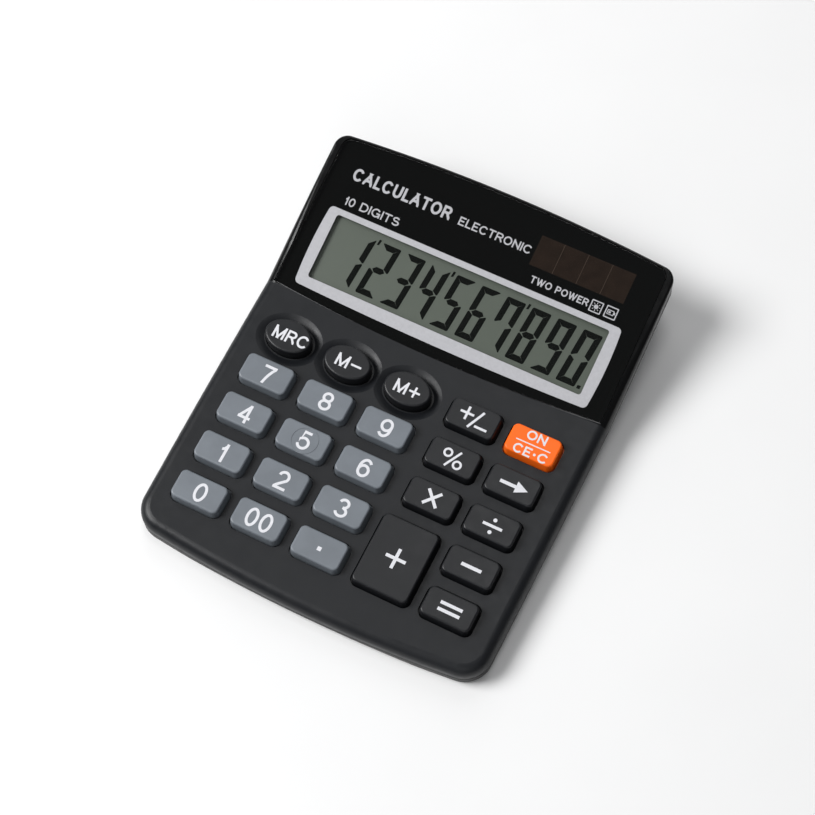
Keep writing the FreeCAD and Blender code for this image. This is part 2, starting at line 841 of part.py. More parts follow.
def bosses():
    """Screw bosses and locating pegs under the plates, trimmed flush with the ceiling."""
    posts = []
    level = board_top()
    for count, (x, y) in enumerate(board_screw_points()):
        post = cylinder(f"board_boss_{count}", "dims.boss_radius", "dims.slab_depth / 3",
                        keypad_frame(x, y, -level))
        posts.append(post)
    for count, (x, y) in enumerate(peg_points()):
        reach = level + size("board_thickness")
        posts.append(cylinder(f"board_peg_{count}", "dims.peg_radius", "dims.slab_depth / 3",
                              keypad_frame(x, y, -reach)))
    for count, (x, y, seat) in enumerate(case_screw_points()):
        start = seat + size("screw_seat")
        posts.append(cylinder(f"case_boss_{count}", "dims.case_boss_radius",
                              "dims.slab_depth / 2", Placement(Vector(x, y, start), Rotation())))
    trimmed = common("boss_trim", [fuse("boss_posts", posts),
                                   outline("boss_outline", size("wall") / 2),
                                   below_surface("boss_ceiling", size("keypad_plate") * 0.8,
                                                 display_ceiling() * 0.9)])
    bores = []
    for count, (x, y) in enumerate(board_screw_points()):
        bores.append(cylinder(f"board_bore_{count}", "dims.board_screw_shank",
                              "dims.board_screw_length",
                              keypad_frame(x, y, -level - size("board_thickness"))))
    for count, (x, y, seat) in enumerate(case_screw_points()):
        bores.append(cylinder(f"case_bore_{count}", "dims.case_screw_shank",
                              "dims.case_screw_length",
                              Placement(Vector(x, y, seat), Rotation())))
    return trimmed, fuse("screw_bores", bores)


def front_case():
    """The upper shell: both plates, the side walls, key openings, window recess and bosses."""
    shell = cut("case_hollow", upper_outer(), case_cavity())
    posts, bores = bosses()
    recess = cut("window_recess", window_block("recess_outline", 0.0),
                 display_slab("recess_floor", window_drop()))
    openings = [recess, bores]
    for name, x, y in key_layout():
        openings.append(key_opening(name, x, y, "key_width", "key_depth"))
    x, y = plus_position()
    openings.append(key_opening(PLUS_KEY, x, y, "plus_width", "plus_depth"))
    for name, x, y in memory_layout():
        openings.append(oval_opening(name, x, y))
    openings.append(centred_box("lcd_window", "dims.lcd_window_width + 1",
                                "dims.lcd_window_depth + 1", "4 * dims.window_floor",
                                display_frame(0, size("lcd_centre"),
                                              -display_ceiling() - size("window_floor"))))
    openings.append(centred_box("solar_window", "dims.solar_window_width",
                                "dims.solar_window_depth", "4 * dims.window_floor",
                                display_frame(size("solar_centre_x"), size("solar_centre_y"),
                                              -display_ceiling() - size("window_floor"))))
    case = cut("front_case_shell", fuse("case_with_bosses", [shell, posts]),
               fuse("case_openings", openings))
    return finish(case, "front_case")


# ---------------------------------------------------------------------------------------------
# rear cover, feet and case screws
# ---------------------------------------------------------------------------------------------

def parting_groove():
    """Everything outside the shadow line that runs round the case just under the front shell."""
    drop = size("parting_drop")
    bottom = drop + size("groove_height")
    band = cut("groove_band", below_surface("groove_top", drop, drop),
               below_surface("groove_bottom", bottom, bottom))
    return cut("groove_ring", band, outline("groove_floor", size("groove_depth")))


def rear_cover():
    """The lower shell: floor, tapering walls and the posts that take the case screws."""
    drop = size("parting_drop")
    base = size("base_height")
    floor = base + size("cover_floor")
    outside = common("cover_block", [outline("cover_outline", 0.0),
                                     below_surface("cover_surface", drop, drop),
                                     above_height("cover_base", base)])
    outside = cut("cover_tapered", outside, taper_cutters("cover_taper", 0.0))
    outside = cut("cover_outside", outside, parting_groove())
    inside = common("cover_inner_block", [outline("cover_inner_outline", size("wall")),
                                          below_surface("cover_inner_surface", 0.0, 0.0),
                                          above_height("cover_floor_top", floor)])
    inside = cut("cover_inside", inside, taper_cutters("cover_inner_taper", size("wall")))
    shell = cut("cover_shell", outside, inside)
    posts = []
    wells = []
    for count, (x, y, seat) in enumerate(case_screw_points()):
        centre = Vector(x, y, base)
        post = document.addObject("Part::Cylinder", f"cover_post_{count}")
        bind(post, Radius="dims.case_screw_head + dims.hole_clearance + dims.post_wall",
             Height=f"{seat} + dims.screw_seat - dims.base_height")
        post.Placement = Placement(centre, Rotation())
        posts.append(post)
        well = document.addObject("Part::Cylinder", f"cover_well_{count}")
        bind(well, Radius="dims.case_screw_head + dims.hole_clearance",
             Height=f"{seat} - dims.base_height")
        well.Placement = Placement(centre, Rotation())
        wells.append(well)
        wells.append(cylinder(f"cover_screw_hole_{count}",
                              "dims.case_screw_shank + dims.hole_clearance",
                              "dims.rear_seat_height + 2 * dims.screw_seat",
                              Placement(centre, Rotation())))
    walls = fuse("cover_walls", [shell, common("cover_posts", [fuse("cover_post_set", posts),
                                                               outside])])
    for count, (x, y) in enumerate(foot_points()):
        wells.append(cylinder(f"foot_recess_{count}", "dims.foot_diameter / 2",
                              "dims.foot_sink", Placement(Vector(x, y, base), Rotation())))
    return finish(cut("rear_cover_body", walls, fuse("cover_wells", wells)), "rear_cover")


def foot_points():
    """Centres of the four rubber feet."""
    across = size("foot_x")
    return [(-across, size("foot_front_y")), (across, size("foot_front_y")),
            (-across, size("foot_rear_y")), (across, size("foot_rear_y"))]


def rubber_feet():
    """Four stick-on discs, each in a shallow recess of the rear cover."""
    names = ["foot_front_left", "foot_front_right", "foot_rear_left", "foot_rear_right"]
    for name, (x, y) in zip(names, foot_points()):
        body = document.addObject("PartDesign::Body", name)
        disc = sketch_on(body, f"{name}_disc", "XY_Plane")
        circle(disc, "dims.foot_diameter / 2 - dims.foot_gap")
        solid = pad(body, f"{name}_rubber", disc, "dims.base_height + dims.foot_sink")
        document.recompute()
        bottom = [face.CenterOfMass.z for face in solid.Shape.Faces]
        lowest = bottom.index(min(bottom)) + 1
        edge = body.newObject("PartDesign::Fillet", f"{name}_edge")
        edge.Base = (solid, [f"Face{lowest}"])
        edge.setExpression("Radius", "dims.base_height / 2")
        finish(body, name, Placement(Vector(x, y, 0), Rotation()))


def screw_body(name, head_radius, head_height, shank_radius, length):
    """A pan-head screw pointing up: the head lies below its seat at the body's origin."""
    body = document.addObject("PartDesign::Body", name)
    head = sketch_on(body, f"{name}_head_disc", "XY_Plane", f"-dims.{head_height}")
    circle(head, f"dims.{head_radius}")
    pad(body, f"{name}_head", head, f"dims.{head_height}")
    shank = sketch_on(body, f"{name}_shank_disc", "XY_Plane")
    circle(shank, f"dims.{shank_radius}")
    shaft = pad(body, f"{name}_shank", shank, f"dims.{length}")
    slots = sketch_on(body, f"{name}_cross", "XY_Plane", f"-dims.{head_height}")
    reach = size(head_radius) * size("drive_reach")
    arm = size(head_radius) * size("drive_arm")
    corners = [(-arm, -reach), (arm, -reach), (arm, -arm), (reach, -arm), (reach, arm),
               (arm, arm), (arm, reach), (-arm, reach), (-arm, arm), (-reach, arm),
               (-reach, -arm), (-arm, -arm)]
    for start, end in zip(corners, corners[1:] + corners[:1]):
        slots.addGeometry(Part.LineSegment(Vector(*start, 0), Vector(*end, 0)), False)
    cross = pocket(body, f"{name}_drive", slots, f"dims.{head_height} * dims.drive_depth")
    body.Tip = cross
    document.recompute()
    if cross.Shape.Volume >= shaft.Shape.Volume:
        raise ValueError(f"{name}: the drive recess cuts nothing")
    return body


def screw_set(label, pattern, places):
    """Identical screws in one sub-part, each a copy of the pattern."""
    copies = []
    for count, place in enumerate(places):
        copy = document.addObject("App::Link", f"{label}_{count}")
        copy.LinkedObject = pattern
        copy.Placement = place
        copies.append(copy)
    return finish(group(f"{label}_set", copies), label)


def case_screws():
    """The screws that join the rear cover to the front case."""
    pattern = screw_body("case_screw_pattern", "case_screw_head", "case_screw_head_height",
                         "case_screw_shank", "case_screw_length")
    places = [Placement(Vector(x, y, seat), Rotation()) for x, y, seat in case_screw_points()]
    screw_set("case_screws", pattern, places)


def board_screws():
    """The screws that hold the circuit board to the front case."""
    pattern = screw_body("board_screw_pattern", "board_screw_head", "board_screw_head_height",
                         "board_screw_shank", "board_screw_length")
    under = board_top() + size("board_thickness")
    screw_set("board_screws", pattern,
              [keypad_frame(x, y, -under) for x, y in board_screw_points()])


# ---------------------------------------------------------------------------------------------
# display: window panel, liquid crystal cell, solar cell
# ---------------------------------------------------------------------------------------------

def window_panel():
    """The clear panel that covers the display section, printed black on its back."""
    gap = size("lens_gap")
    block = common("panel_below_top", [window_block("panel_outline", gap),
                                       display_slab("panel_top", 0.0)])
    panel = cut("panel_sheet", block, display_slab("panel_bottom", size("lens_thickness")))
    top = Rotation(X_AXIS, size("display_tilt")).multVec(Vector(0, 0, 1))
    origin = fold_point()

    def on_top(edge):
        return all(near((vertex.Point - origin).dot(top), 0.0, 0.01) for vertex in edge.Vertexes)

    edge = size("lens_edge")
    soft = rounded("panel_edges", panel, [(on_top, edge, edge)])
    return finish(soft, "display_window")


def window_tape():
    """Adhesive frame between the window panel and its recess."""
    gap = 3 * size("lens_gap")
    sheet_block = common("tape_below_panel", [window_block("tape_outline", gap),
                                              display_slab("tape_top", size("lens_thickness"))])
    layer = cut("tape_layer", sheet_block, display_slab("tape_bottom", window_drop()))
    low = -window_drop() - size("window_floor")
    lcd_hole = centred_box("tape_lcd_hole", "dims.lcd_window_width + 2 * dims.tape_hole_margin",
                           "dims.lcd_window_depth + 2 * dims.tape_hole_margin",
                           "4 * dims.window_floor",
                           display_frame(0, size("lcd_centre"), low))
    solar_hole = centred_box("tape_solar_hole",
                             "dims.solar_window_width + 2 * dims.tape_solar_margin",
                             "dims.solar_window_depth + 2 * dims.tape_solar_margin",
                             "4 * dims.window_floor",
                             display_frame(size("solar_centre_x"), size("solar_centre_y"), low))
    tape = cut("tape_frame", layer, fuse("tape_holes", [lcd_hole, solar_hole]))
    return finish(tape, "window_tape")


def plate(name, width, depth, height, place):
    """A flat rectangular sub-part padded from a sketch, centred on its placement."""
    body = document.addObject("PartDesign::Body", name)
    outline_sketch = sketch_on(body, f"{name}_outline", "XY_Plane")
    rounded_rectangle(outline_sketch, width, depth, "dims.layer_gap * 4")
    pad(body, f"{name}_sheet", outline_sketch, height)
    return finish(body, name, place)


def liquid_crystal_display():
    """Front film, two sheets of glass and a reflector, stacked under the display plate."""
    middle = size("lcd_centre")
    ledge = size("lcd_ledge")
    glass = size("glass_sheet")
    film = size("film_thickness")
    top = display_ceiling() + size("layer_gap")
    layers = [
        ("lcd_front_film", "dims.lcd_width - 2 * dims.film_margin",
         "dims.lcd_depth - dims.lcd_ledge - dims.film_margin",
         film, ledge / 2, "dims.film_thickness"),
        ("lcd_front_glass", "dims.lcd_width", "dims.lcd_depth - dims.lcd_ledge",
         glass, ledge / 2, "dims.glass_sheet"),
        ("lcd_rear_glass", "dims.lcd_width", "dims.lcd_depth",
         glass, 0.0, "dims.glass_sheet"),
        ("lcd_reflector", "dims.lcd_width - 2 * dims.film_margin",
         "dims.lcd_depth - 2 * dims.film_margin",
         film, 0.0, "dims.film_thickness"),
    ]
    depth = top
    for name, width, length, thickness, shift, height in layers:
        depth += thickness
        plate(name, width, length, height, display_frame(0, middle + shift, -depth))
    return depth


def solar_panel():
    """Four-cell amorphous solar cell on glass, under its own window."""
    depth = display_ceiling() + size("layer_gap") + size("solar_thickness")
    place = display_frame(size("solar_centre_x"), size("solar_centre_y"), -depth)
    plate("solar_cell", "dims.solar_width", "dims.solar_depth", "dims.solar_thickness", place)
    return depth


def wire(name, points):
    """A thin insulated wire along a smooth curve through the given points."""
    curve = Part.BSplineCurve()
    curve.interpolate(points)
    path = Part.Wire([curve.toShape()])
    start = points[0]
    tangent = curve.tangent(curve.FirstParameter)[0]
    ring = Part.Wire([Part.Circle(start, tangent, size("wire_diameter") / 2).toShape()])
    item = document.addObject("Part::Feature", name)
    item.Shape = path.makePipeShell([ring], True, True)
    return finish(item, name)


def solar_wires(solar_depth):
    """The two wires from the solar cell down to the circuit board."""
    radius = (size("wire_diameter") + size("layer_gap")) / 2
    slack = 2 * size("wire_diameter")
    for count, name in enumerate(("solar_wire_positive", "solar_wire_negative")):
        x = size("solar_centre_x") + size("wire_start") + count * size("wire_pitch")
        y = size("solar_centre_y")
        landing = size("wire_landing_y")
        top = display_frame(x, y + slack / 2, -solar_depth - radius)
        bend = display_frame(x - slack / 2, y - 2 * slack, -solar_depth - slack)
        bottom = keypad_frame(x - slack, landing, -board_top() + radius)
        between = keypad_frame(x - slack, landing - slack, -board_top() + slack)
        wire(name, [top.Base, bend.Base, between.Base, bottom.Base])


def lcd_ribbon(lcd_depth):
    """Heat-seal ribbon from the rear face of the display glass down to the circuit board."""
    thin = size("ribbon_thickness")
    middle = size("lcd_centre")
    lcd_edge = middle - size("lcd_depth") / 2
    film_edge = lcd_edge + size("film_margin")
    top_rear = display_frame(0, film_edge + 15 * thin, -lcd_depth).Base
    top_front = display_frame(0, film_edge, -lcd_depth - thin).Base
    resting = -board_top() + thin + size("layer_gap")
    low_rear = keypad_frame(0, lcd_edge - 5 * thin, resting).Base
    low_front = keypad_frame(0, lcd_edge - 22 * thin, resting).Base
    spine = [top_rear, top_front, low_rear, low_front]
    under = [point - Vector(0, 0, thin) for point in spine]
    half = Vector(size("ribbon_width") / 2, 0, 0)
    ring = [point - half for point in spine + under[::-1]]
    face = Part.Face(Part.makePolygon(ring + ring[:1]))
    item = document.addObject("Part::Feature", "lcd_ribbon")
    item.Shape = face.extrude(half * 2)
    return finish(item, "lcd_ribbon")


# ---------------------------------------------------------------------------------------------
# switches, circuit board and power
# ---------------------------------------------------------------------------------------------

def clearance_holes(name, radius, level):
    """Cylinders along every boss and peg of the front case, wide enough to clear them."""
    holes = []
    for count, (x, y) in enumerate(board_screw_points()):
        holes.append(cylinder(f"{name}_boss_{count}", radius, "4 * dims.dome_height",
                              keypad_frame(x, y, level)))
    for count, (x, y) in enumerate(peg_points()):
        holes.append(cylinder(f"{name}_peg_{count}", "dims.peg_radius + dims.peg_clearance",
                              "4 * dims.dome_height", keypad_frame(x, y, level)))
    return holes


def key_membrane():
    """Silicone sheet with one hollow dome under each key."""
    sheet_top = -board_top() + size("sheet_thickness")
    middle = (size("membrane_rear") + size("membrane_front")) / 2
    base = centred_box("membrane_sheet", "dims.membrane_width",
                       "dims.membrane_rear - dims.membrane_front", "dims.sheet_thickness",
                       keypad_frame(0, middle, -board_top()))
    domes = [base]
    hollows = []
    for count, (x, y) in enumerate(all_key_centres()):
        domes.append(cone(f"dome_{count}", "dims.dome_base_radius", "dims.dome_top_radius",
                          "dims.dome_height", keypad_frame(x, y, sheet_top)))
        hollows.append(cone(f"dome_inside_{count}", "dims.dome_base_radius - dims.dome_skin",
                            "dims.dome_top_radius - dims.dome_skin",
                            "dims.dome_height - dims.dome_skin",
                            keypad_frame(x, y, sheet_top)))
        hollows.append(cylinder(f"dome_foot_{count}", "dims.dome_base_radius - dims.dome_skin",
                                "dims.sheet_thickness", keypad_frame(x, y, -board_top())))
    hollows += clearance_holes("membrane", "dims.boss_radius + dims.membrane_clearance",
                               -board_top())
    return finish(cut("membrane_skin", fuse("membrane_solid", domes),
                      fuse("membrane_hollows", hollows)), "key_membrane")


def circuit_board():
    """The circuit board, from the front pegs to behind the display."""
    middle = (size("board_rear") + size("board_front")) / 2
    under = board_top() + size("board_thickness")
    board = centred_box("board_sheet", "dims.board_width", "dims.board_rear - dims.board_front",
                        "dims.board_thickness", keypad_frame(0, middle, -under))
    tilt = Rotation(X_AXIS, size("keypad_tilt"))
    upright = tilt.multVec(Vector(0, 0, 1))

    def is_corner(edge):
        run = edge.Vertexes[1].Point - edge.Vertexes[0].Point
        return abs(run.dot(upright)) > 0.999 * run.Length

    corner = size("front_corner_radius") / 2
    board = rounded("board_corners", board, [(is_corner, corner, corner)])
    holes = []
    for count, (x, y) in enumerate(board_screw_points()):
        holes.append(cylinder(f"board_screw_hole_{count}",
                              "dims.board_screw_shank + dims.hole_clearance / 3",
                              "3 * dims.board_thickness",
                              keypad_frame(x, y, -under - size("board_thickness"))))
    for count, (x, y) in enumerate(peg_points()):
        holes.append(cylinder(f"board_peg_hole_{count}", "dims.peg_radius + dims.peg_clearance",
                              "3 * dims.board_thickness",
                              keypad_frame(x, y, -under - size("board_thickness"))))
    for count, (x, y, _) in enumerate(case_screw_points()):
        holes.append(cylinder(f"board_notch_{count}",
                              "dims.case_screw_head + dims.hole_clearance + dims.notch_clearance",
                              "dims.slab_depth", Placement(Vector(x, y, 0), Rotation())))
    return finish(cut("circuit_board_body", board, fuse("board_holes", holes)), "circuit_board")


def under_board(x, y, depth=0.0):
    """A place on the underside of the circuit board, lowered by depth."""
    return keypad_frame(x, y, -board_top() - size("board_thickness") - depth)


def controller_chip():
    """The calculator chip under its round cap of black resin."""
    body = document.addObject("PartDesign::Body", "controller_chip")
    disc = sketch_on(body, "controller_chip_disc", "XY_Plane")
    circle(disc, "dims.blob_radius")
    resin = pad(body, "controller_chip_resin", disc, "dims.blob_height")
    body.Tip = round_top(body, "controller_chip_edge", resin, "dims.blob_height * 0.8")
    place = under_board(size("blob_x"), size("blob_y"))
    flipped = place.multiply(Placement(Vector(), Rotation(X_AXIS, 180)))
    return finish(body, "controller_chip", flipped)


def button_cell():
    """The button cell, lying flat under the board with its rounded case edge downwards."""
    body = document.addObject("PartDesign::Body", "button_cell")
    can = sketch_on(body, "button_cell_can", "XY_Plane")
    circle(can, "dims.cell_diameter / 2")
    solid = pad(body, "button_cell_body", can, "dims.cell_height * dims.cell_can_share")
    body.Tip = round_top(body, "button_cell_edge", solid, "dims.cell_edge")
    document.recompute()
    start = "dims.cell_height * (dims.cell_can_share - 0.05)"
    terminal = sketch_on(body, "button_cell_cap_disc", "XY_Plane", start)
    circle(terminal, "dims.cell_diameter / 2 - dims.cell_cap_step")
    pad(body, "button_cell_cap", terminal, f"dims.cell_height - {start}")
    lift = size("contact_thickness") + size("layer_gap") + size("cell_height")
    return finish(body, "button_cell", under_board(size("cell_x"), size("cell_y"), lift))


def cell_contact():
    """The flat spring contact between the button cell and the board."""
    body = document.addObject("PartDesign::Body", "cell_contact")
    disc = sketch_on(body, "cell_contact_disc", "XY_Plane")
    circle(disc, "dims.cell_diameter / 4")
    pad(body, "cell_contact_leaf", disc, "dims.contact_thickness")
    return finish(body, "cell_contact",
                  under_board(size("cell_x"), size("cell_y"), size("contact_thickness")))


def cell_clip():
    """The strap that holds the button cell against the board."""
    inner = "(dims.cell_diameter / 2 + dims.clip_gap)"
    reach = "(dims.contact_thickness + dims.cell_height + 2 * dims.layer_gap)"
    span = f"2 * {inner} + 2 * dims.clip_thickness"
    drop = number(f"{reach} + dims.clip_thickness")
    place = under_board(size("cell_x"), size("cell_y"), drop)
    strap = centred_box("clip_block", span, "dims.clip_width", f"{reach} + dims.clip_thickness",
                        place)
    space = centred_box("clip_space", f"2 * {inner}", "2 * dims.clip_width", reach,
                        place.multiply(Placement(Vector(0, 0, size("clip_thickness")),
                                                 Rotation())))
    return finish(cut("cell_clip_strap", strap, space), "cell_clip")


def capacitor():
    """The upright smoothing capacitor behind the display."""
    body = document.addObject("PartDesign::Body", "capacitor")
    disc = sketch_on(body, "capacitor_disc", "XY_Plane")
    circle(disc, "dims.capacitor_radius")
    can = pad(body, "capacitor_can", disc, "dims.capacitor_height")
    body.Tip = round_top(body, "capacitor_edge", can, "dims.capacitor_edge")
    place = keypad_frame(size("capacitor_x"), size("capacitor_y"), -board_top())
    return finish(body, "capacitor", place)


def chip_resistors():
    """Three chip resistors beside the capacitor."""
    bodies = []
    for count in range(int(size("resistor_count"))):
        x = size("resistor_first_x") + count * size("resistor_pitch")
        bodies.append(centred_box(f"resistor_{count}", "dims.resistor_length",
                                  "dims.resistor_width", "dims.resistor_height",
                                  keypad_frame(x, size("resistor_y"), -board_top())))
    return finish(group("chip_resistor_set", bodies), "chip_resistors")


# ---------------------------------------------------------------------------------------------
# build, check and write
# ---------------------------------------------------------------------------------------------

def build():
    """Makes every sub-part."""
    front_case()
    rear_cover()
    rubber_feet()
    case_screws()
    board_screws()
    window_panel()
    window_tape()
    lcd_ribbon(liquid_crystal_display())
    solar_wires(solar_panel())
    circuit_board()
    key_membrane()
    controller_chip()
    button_cell()
    cell_contact()
    cell_clip()
    capacitor()
    chip_resistors()
    for name, x, y in key_layout():
        key_cap(name, x, y)
    x, y = plus_position()
    key_cap(PLUS_KEY, x, y, "plus_width", "plus_depth")
    for name, x, y in memory_layout():
        oval_key(name, x, y)
    document.recompute()


def check():
    """Stops if any object failed or any exported shape is unsound."""
    for item in document.Objects:
        if "Invalid" in item.State or "Error" in item.State:
            raise ValueError(f"{item.Name}: {item.State}")
    for item in exported:
        if item.Shape.isNull() or not item.Shape.isValid():
            raise ValueError(f"{item.Label}: unsound shape")


def write():
    """Writes one STEP file for each sub-part."""
    for item in exported:
        item.Shape.exportStep(f"parts/{item.Label}.step")


build()
check()
write()
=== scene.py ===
"""Looks of the pocket calculator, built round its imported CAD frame."""

import math

import bpy
from mathutils import Matrix, Vector
from mathutils.geometry import convex_hull_2d, delaunay_2d_cdt


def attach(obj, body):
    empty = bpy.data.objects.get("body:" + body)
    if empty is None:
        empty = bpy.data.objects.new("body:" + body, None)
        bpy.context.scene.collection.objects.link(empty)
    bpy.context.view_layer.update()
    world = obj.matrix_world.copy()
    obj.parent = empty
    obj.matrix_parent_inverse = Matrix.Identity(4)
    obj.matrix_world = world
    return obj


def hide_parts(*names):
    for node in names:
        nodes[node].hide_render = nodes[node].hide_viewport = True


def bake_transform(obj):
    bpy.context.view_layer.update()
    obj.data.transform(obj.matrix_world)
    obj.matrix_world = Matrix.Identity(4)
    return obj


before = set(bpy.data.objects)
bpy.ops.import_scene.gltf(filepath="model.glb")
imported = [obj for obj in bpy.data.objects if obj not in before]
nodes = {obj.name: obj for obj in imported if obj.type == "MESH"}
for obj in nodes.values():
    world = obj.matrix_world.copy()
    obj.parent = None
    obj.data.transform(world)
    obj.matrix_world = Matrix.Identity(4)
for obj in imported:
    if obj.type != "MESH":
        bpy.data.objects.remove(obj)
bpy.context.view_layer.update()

MM = 0.001

# Sizes of the case that fix the two sloping surfaces, in millimetres and degrees.
CASE_LENGTH = 128.8
FRONT_HEIGHT = 7.6
KEYPAD_RUN = 80.9
KEYPAD_TILT = 2.0
DISPLAY_TILT = 14.8

# Heights of the printed layers under the clear window, above the display surface.
BLACK_PRINT = (-1.40, -1.375)
WHITE_PRINT = (-1.39, -1.35)
LEGEND_RELIEF = 0.025
LEGEND_ROOT = 0.08

# Fineness of outlines.
CORNER_STEPS = 6
BOW_STEPS = 12
ARC_STEP_DEGREES = 10
MERGE_DISTANCE = 1e-5


# ------------------------------------------------------------------------------------------
# working frames: x across, y up the slope, z above the surface, in millimetres
# ------------------------------------------------------------------------------------------

def sloping_frame(tilt):
    """Matrix from a sloping surface's millimetres to the model's metres; both start at the fold."""
    slope = math.radians(KEYPAD_TILT)
    fold_y = KEYPAD_RUN * math.cos(slope) - CASE_LENGTH / 2
    fold_z = KEYPAD_RUN * math.sin(slope) + FRONT_HEIGHT
    place = Matrix.Translation((0.0, fold_y * MM, fold_z * MM))
    return place @ Matrix.Rotation(math.radians(tilt), 4, "X") @ Matrix.Scale(MM, 4)


KEYPAD = sloping_frame(KEYPAD_TILT)
DISPLAY = sloping_frame(DISPLAY_TILT)


def local_points(name, place):
    """Vertices of a CAD node in a sloping frame."""
    inverse = place.inverted()
    return [inverse @ vertex.co for vertex in nodes[name].data.vertices]


def local_box(name, place):
    """Lowest and highest corners of a CAD node in a sloping frame."""
    points = local_points(name, place)
    low = Vector(min(point[axis] for point in points) for axis in range(3))
    high = Vector(max(point[axis] for point in points) for axis in range(3))
    return low, high


# ------------------------------------------------------------------------------------------
# flat outlines, made into thin closed pieces
# ------------------------------------------------------------------------------------------

def anticlockwise(outline):
    """The outline as plane vectors, turned so that its inside is on the left."""
    points = [Vector((point[0], point[1])) for point in outline]
    area = sum(a.x * b.y - b.x * a.y for a, b in zip(points, points[1:] + points[:1]))
    return points if area > 0 else points[::-1]


def fill(outlines, holes=(), clip=None):
    """Triangles of the joined outlines, without the holes and, given a clip, only inside it."""
    loops = [anticlockwise(loop) for loop in [*outlines, *holes, *([clip] if clip else [])]]
    points = [point for loop in loops for point in loop]
    faces = []
    start = 0
    for loop in loops:
        faces.append(list(range(start, start + len(loop))))
        start += len(loop)
    vertices, _, triangles, _, _, origins = delaunay_2d_cdt(points, [], faces, 0,
                                                              MERGE_DISTANCE, True)
    solid = set(range(len(outlines)))
    empty = set(range(len(outlines), len(outlines) + len(holes)))
    kept = []
    for triangle, origin in zip(triangles, origins):
        inside = set(origin)
        if not inside & solid or inside & empty:
            continue
        if clip and len(loops) - 1 not in inside:
            continue
        kept.append(triangle)
    return vertices, kept


def relief(parts, place, low, high):
    """Vertices and faces of filled outlines as closed slabs between two heights."""
    vertices = []
    faces = []
    for flat, triangles in parts:
        start = len(vertices)
        count = len(flat)
        vertices += [place @ Vector((point.x, point.y, high)) for point in flat]
        vertices += [place @ Vector((point.x, point.y, low)) for point in flat]
        sides = {(a, b) for t in triangles for a, b in zip(t, t[1:] + t[:1])}
        for triangle in triangles:
            faces.append([start + index for index in triangle])
            faces.append([start + count + index for index in reversed(triangle)])
        for a, b in sorted(sides):
            if (b, a) not in sides:
                faces.append([start + count + a, start + count + b, start + b, start + a])
    return vertices, faces


def thin_piece(name, parts, place, low, high, made, body, slot):
    """One piece of flat relief on a body."""
    vertices, faces = relief(parts, place, low, high)
    mesh = bpy.data.meshes.new(name)
    mesh.from_pydata([tuple(vertex) for vertex in vertices], [], faces)
    used = {index for face in faces for index in face}
    remove_unused(mesh, used)
    mesh.materials.append(made)
    piece = bpy.data.objects.new(name, mesh)
    bpy.context.collection.objects.link(piece)
    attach(piece, body)
    return piece


def remove_unused(mesh, used):
    """Rebuilds the mesh without the vertices that no face uses."""
    order = sorted(used)
    place = {old: new for new, old in enumerate(order)}
    points = [tuple(mesh.vertices[index].co) for index in order]
    faces = [[place[index] for index in polygon.vertices] for polygon in mesh.polygons]
    mesh.clear_geometry()
    mesh.from_pydata(points, [], faces)
    mesh.validate()


def rectangle(x0, y0, x1, y1):
    """Plain rectangle."""
    return [(x0, y0), (x1, y0), (x1, y1), (x0, y1)]


def rounded(x0, y0, x1, y1, radius):
    """Rectangle with rounded corners."""
    corners = [(x1 - radius, y1 - radius, 0), (x0 + radius, y1 - radius, 90),
               (x0 + radius, y0 + radius, 180), (x1 - radius, y0 + radius, 270)]
    outline = []
    for x, y, start in corners:
        outline += arc(x, y, radius, radius, start, start + 90, CORNER_STEPS)
    return outline


def bowed(outline, box, front, side):
    """The outline with its front edge and its two sides pushed out most at their middles."""
    x0, y0, x1, y1 = box
    middle = Vector(((x0 + x1) / 2, (y0 + y1) / 2))
    half = Vector(((x1 - x0) / 2, (y1 - y0) / 2))
    moved = []
    for start, end in zip(outline, outline[1:] + outline[:1]):
        for step in range(BOW_STEPS):
            point = Vector(start).lerp(Vector(end), step / BOW_STEPS)
            across = (point.x - middle.x) / half.x
            along = (point.y - middle.y) / half.y
            out = side * across * (1 - along * along)
            drop = front * min(along, 0.0) * (1 - across * across)
            moved.append((point.x + out, point.y + drop))
    return moved


def arc(x, y, across, along, start, end, steps=0):
    """Points on an ellipse's arc, ends included."""
    steps = steps or max(3, round(abs(end - start) / ARC_STEP_DEGREES))
    points = []
    for step in range(steps + 1):
        angle = math.radians(start + (end - start) * step / steps)
        points.append((x + across * math.cos(angle), y + along * math.sin(angle)))
    return points


def disc(x, y, radius):
    """Round spot."""
    return arc(x, y, radius, radius, 0, 345, 23)


def ribbon(points, width, closed=False):
    """Quads along a line, mitred where it bends."""
    line = [Vector(point) for point in points]
    count = len(line)
    sides = []
    for index, point in enumerate(line):
        before = point - line[index - 1] if index or closed else line[1] - line[0]
        last = index == count - 1 and not closed
        after = before if last else line[(index + 1) % count] - point
        left = Vector((-before.y, before.x)).normalized()
        right = Vector((-after.y, after.x)).normalized()
        middle = (left + right).normalized()
        sides.append(middle * (width / 2) / max(middle.dot(left), 0.5))
    quads = []
    for index in range(count if closed else count - 1):
        after = (index + 1) % count
        quads.append([line[index] + sides[index], line[index] - sides[index],
                      line[after] - sides[after], line[after] + sides[after]])
    return quads


# ------------------------------------------------------------------------------------------
# plain lettering, drawn with a pen of one width in a box of height 1
# ------------------------------------------------------------------------------------------

STEM = [(0, 0), (0, 1)]
LOOP = "loop"

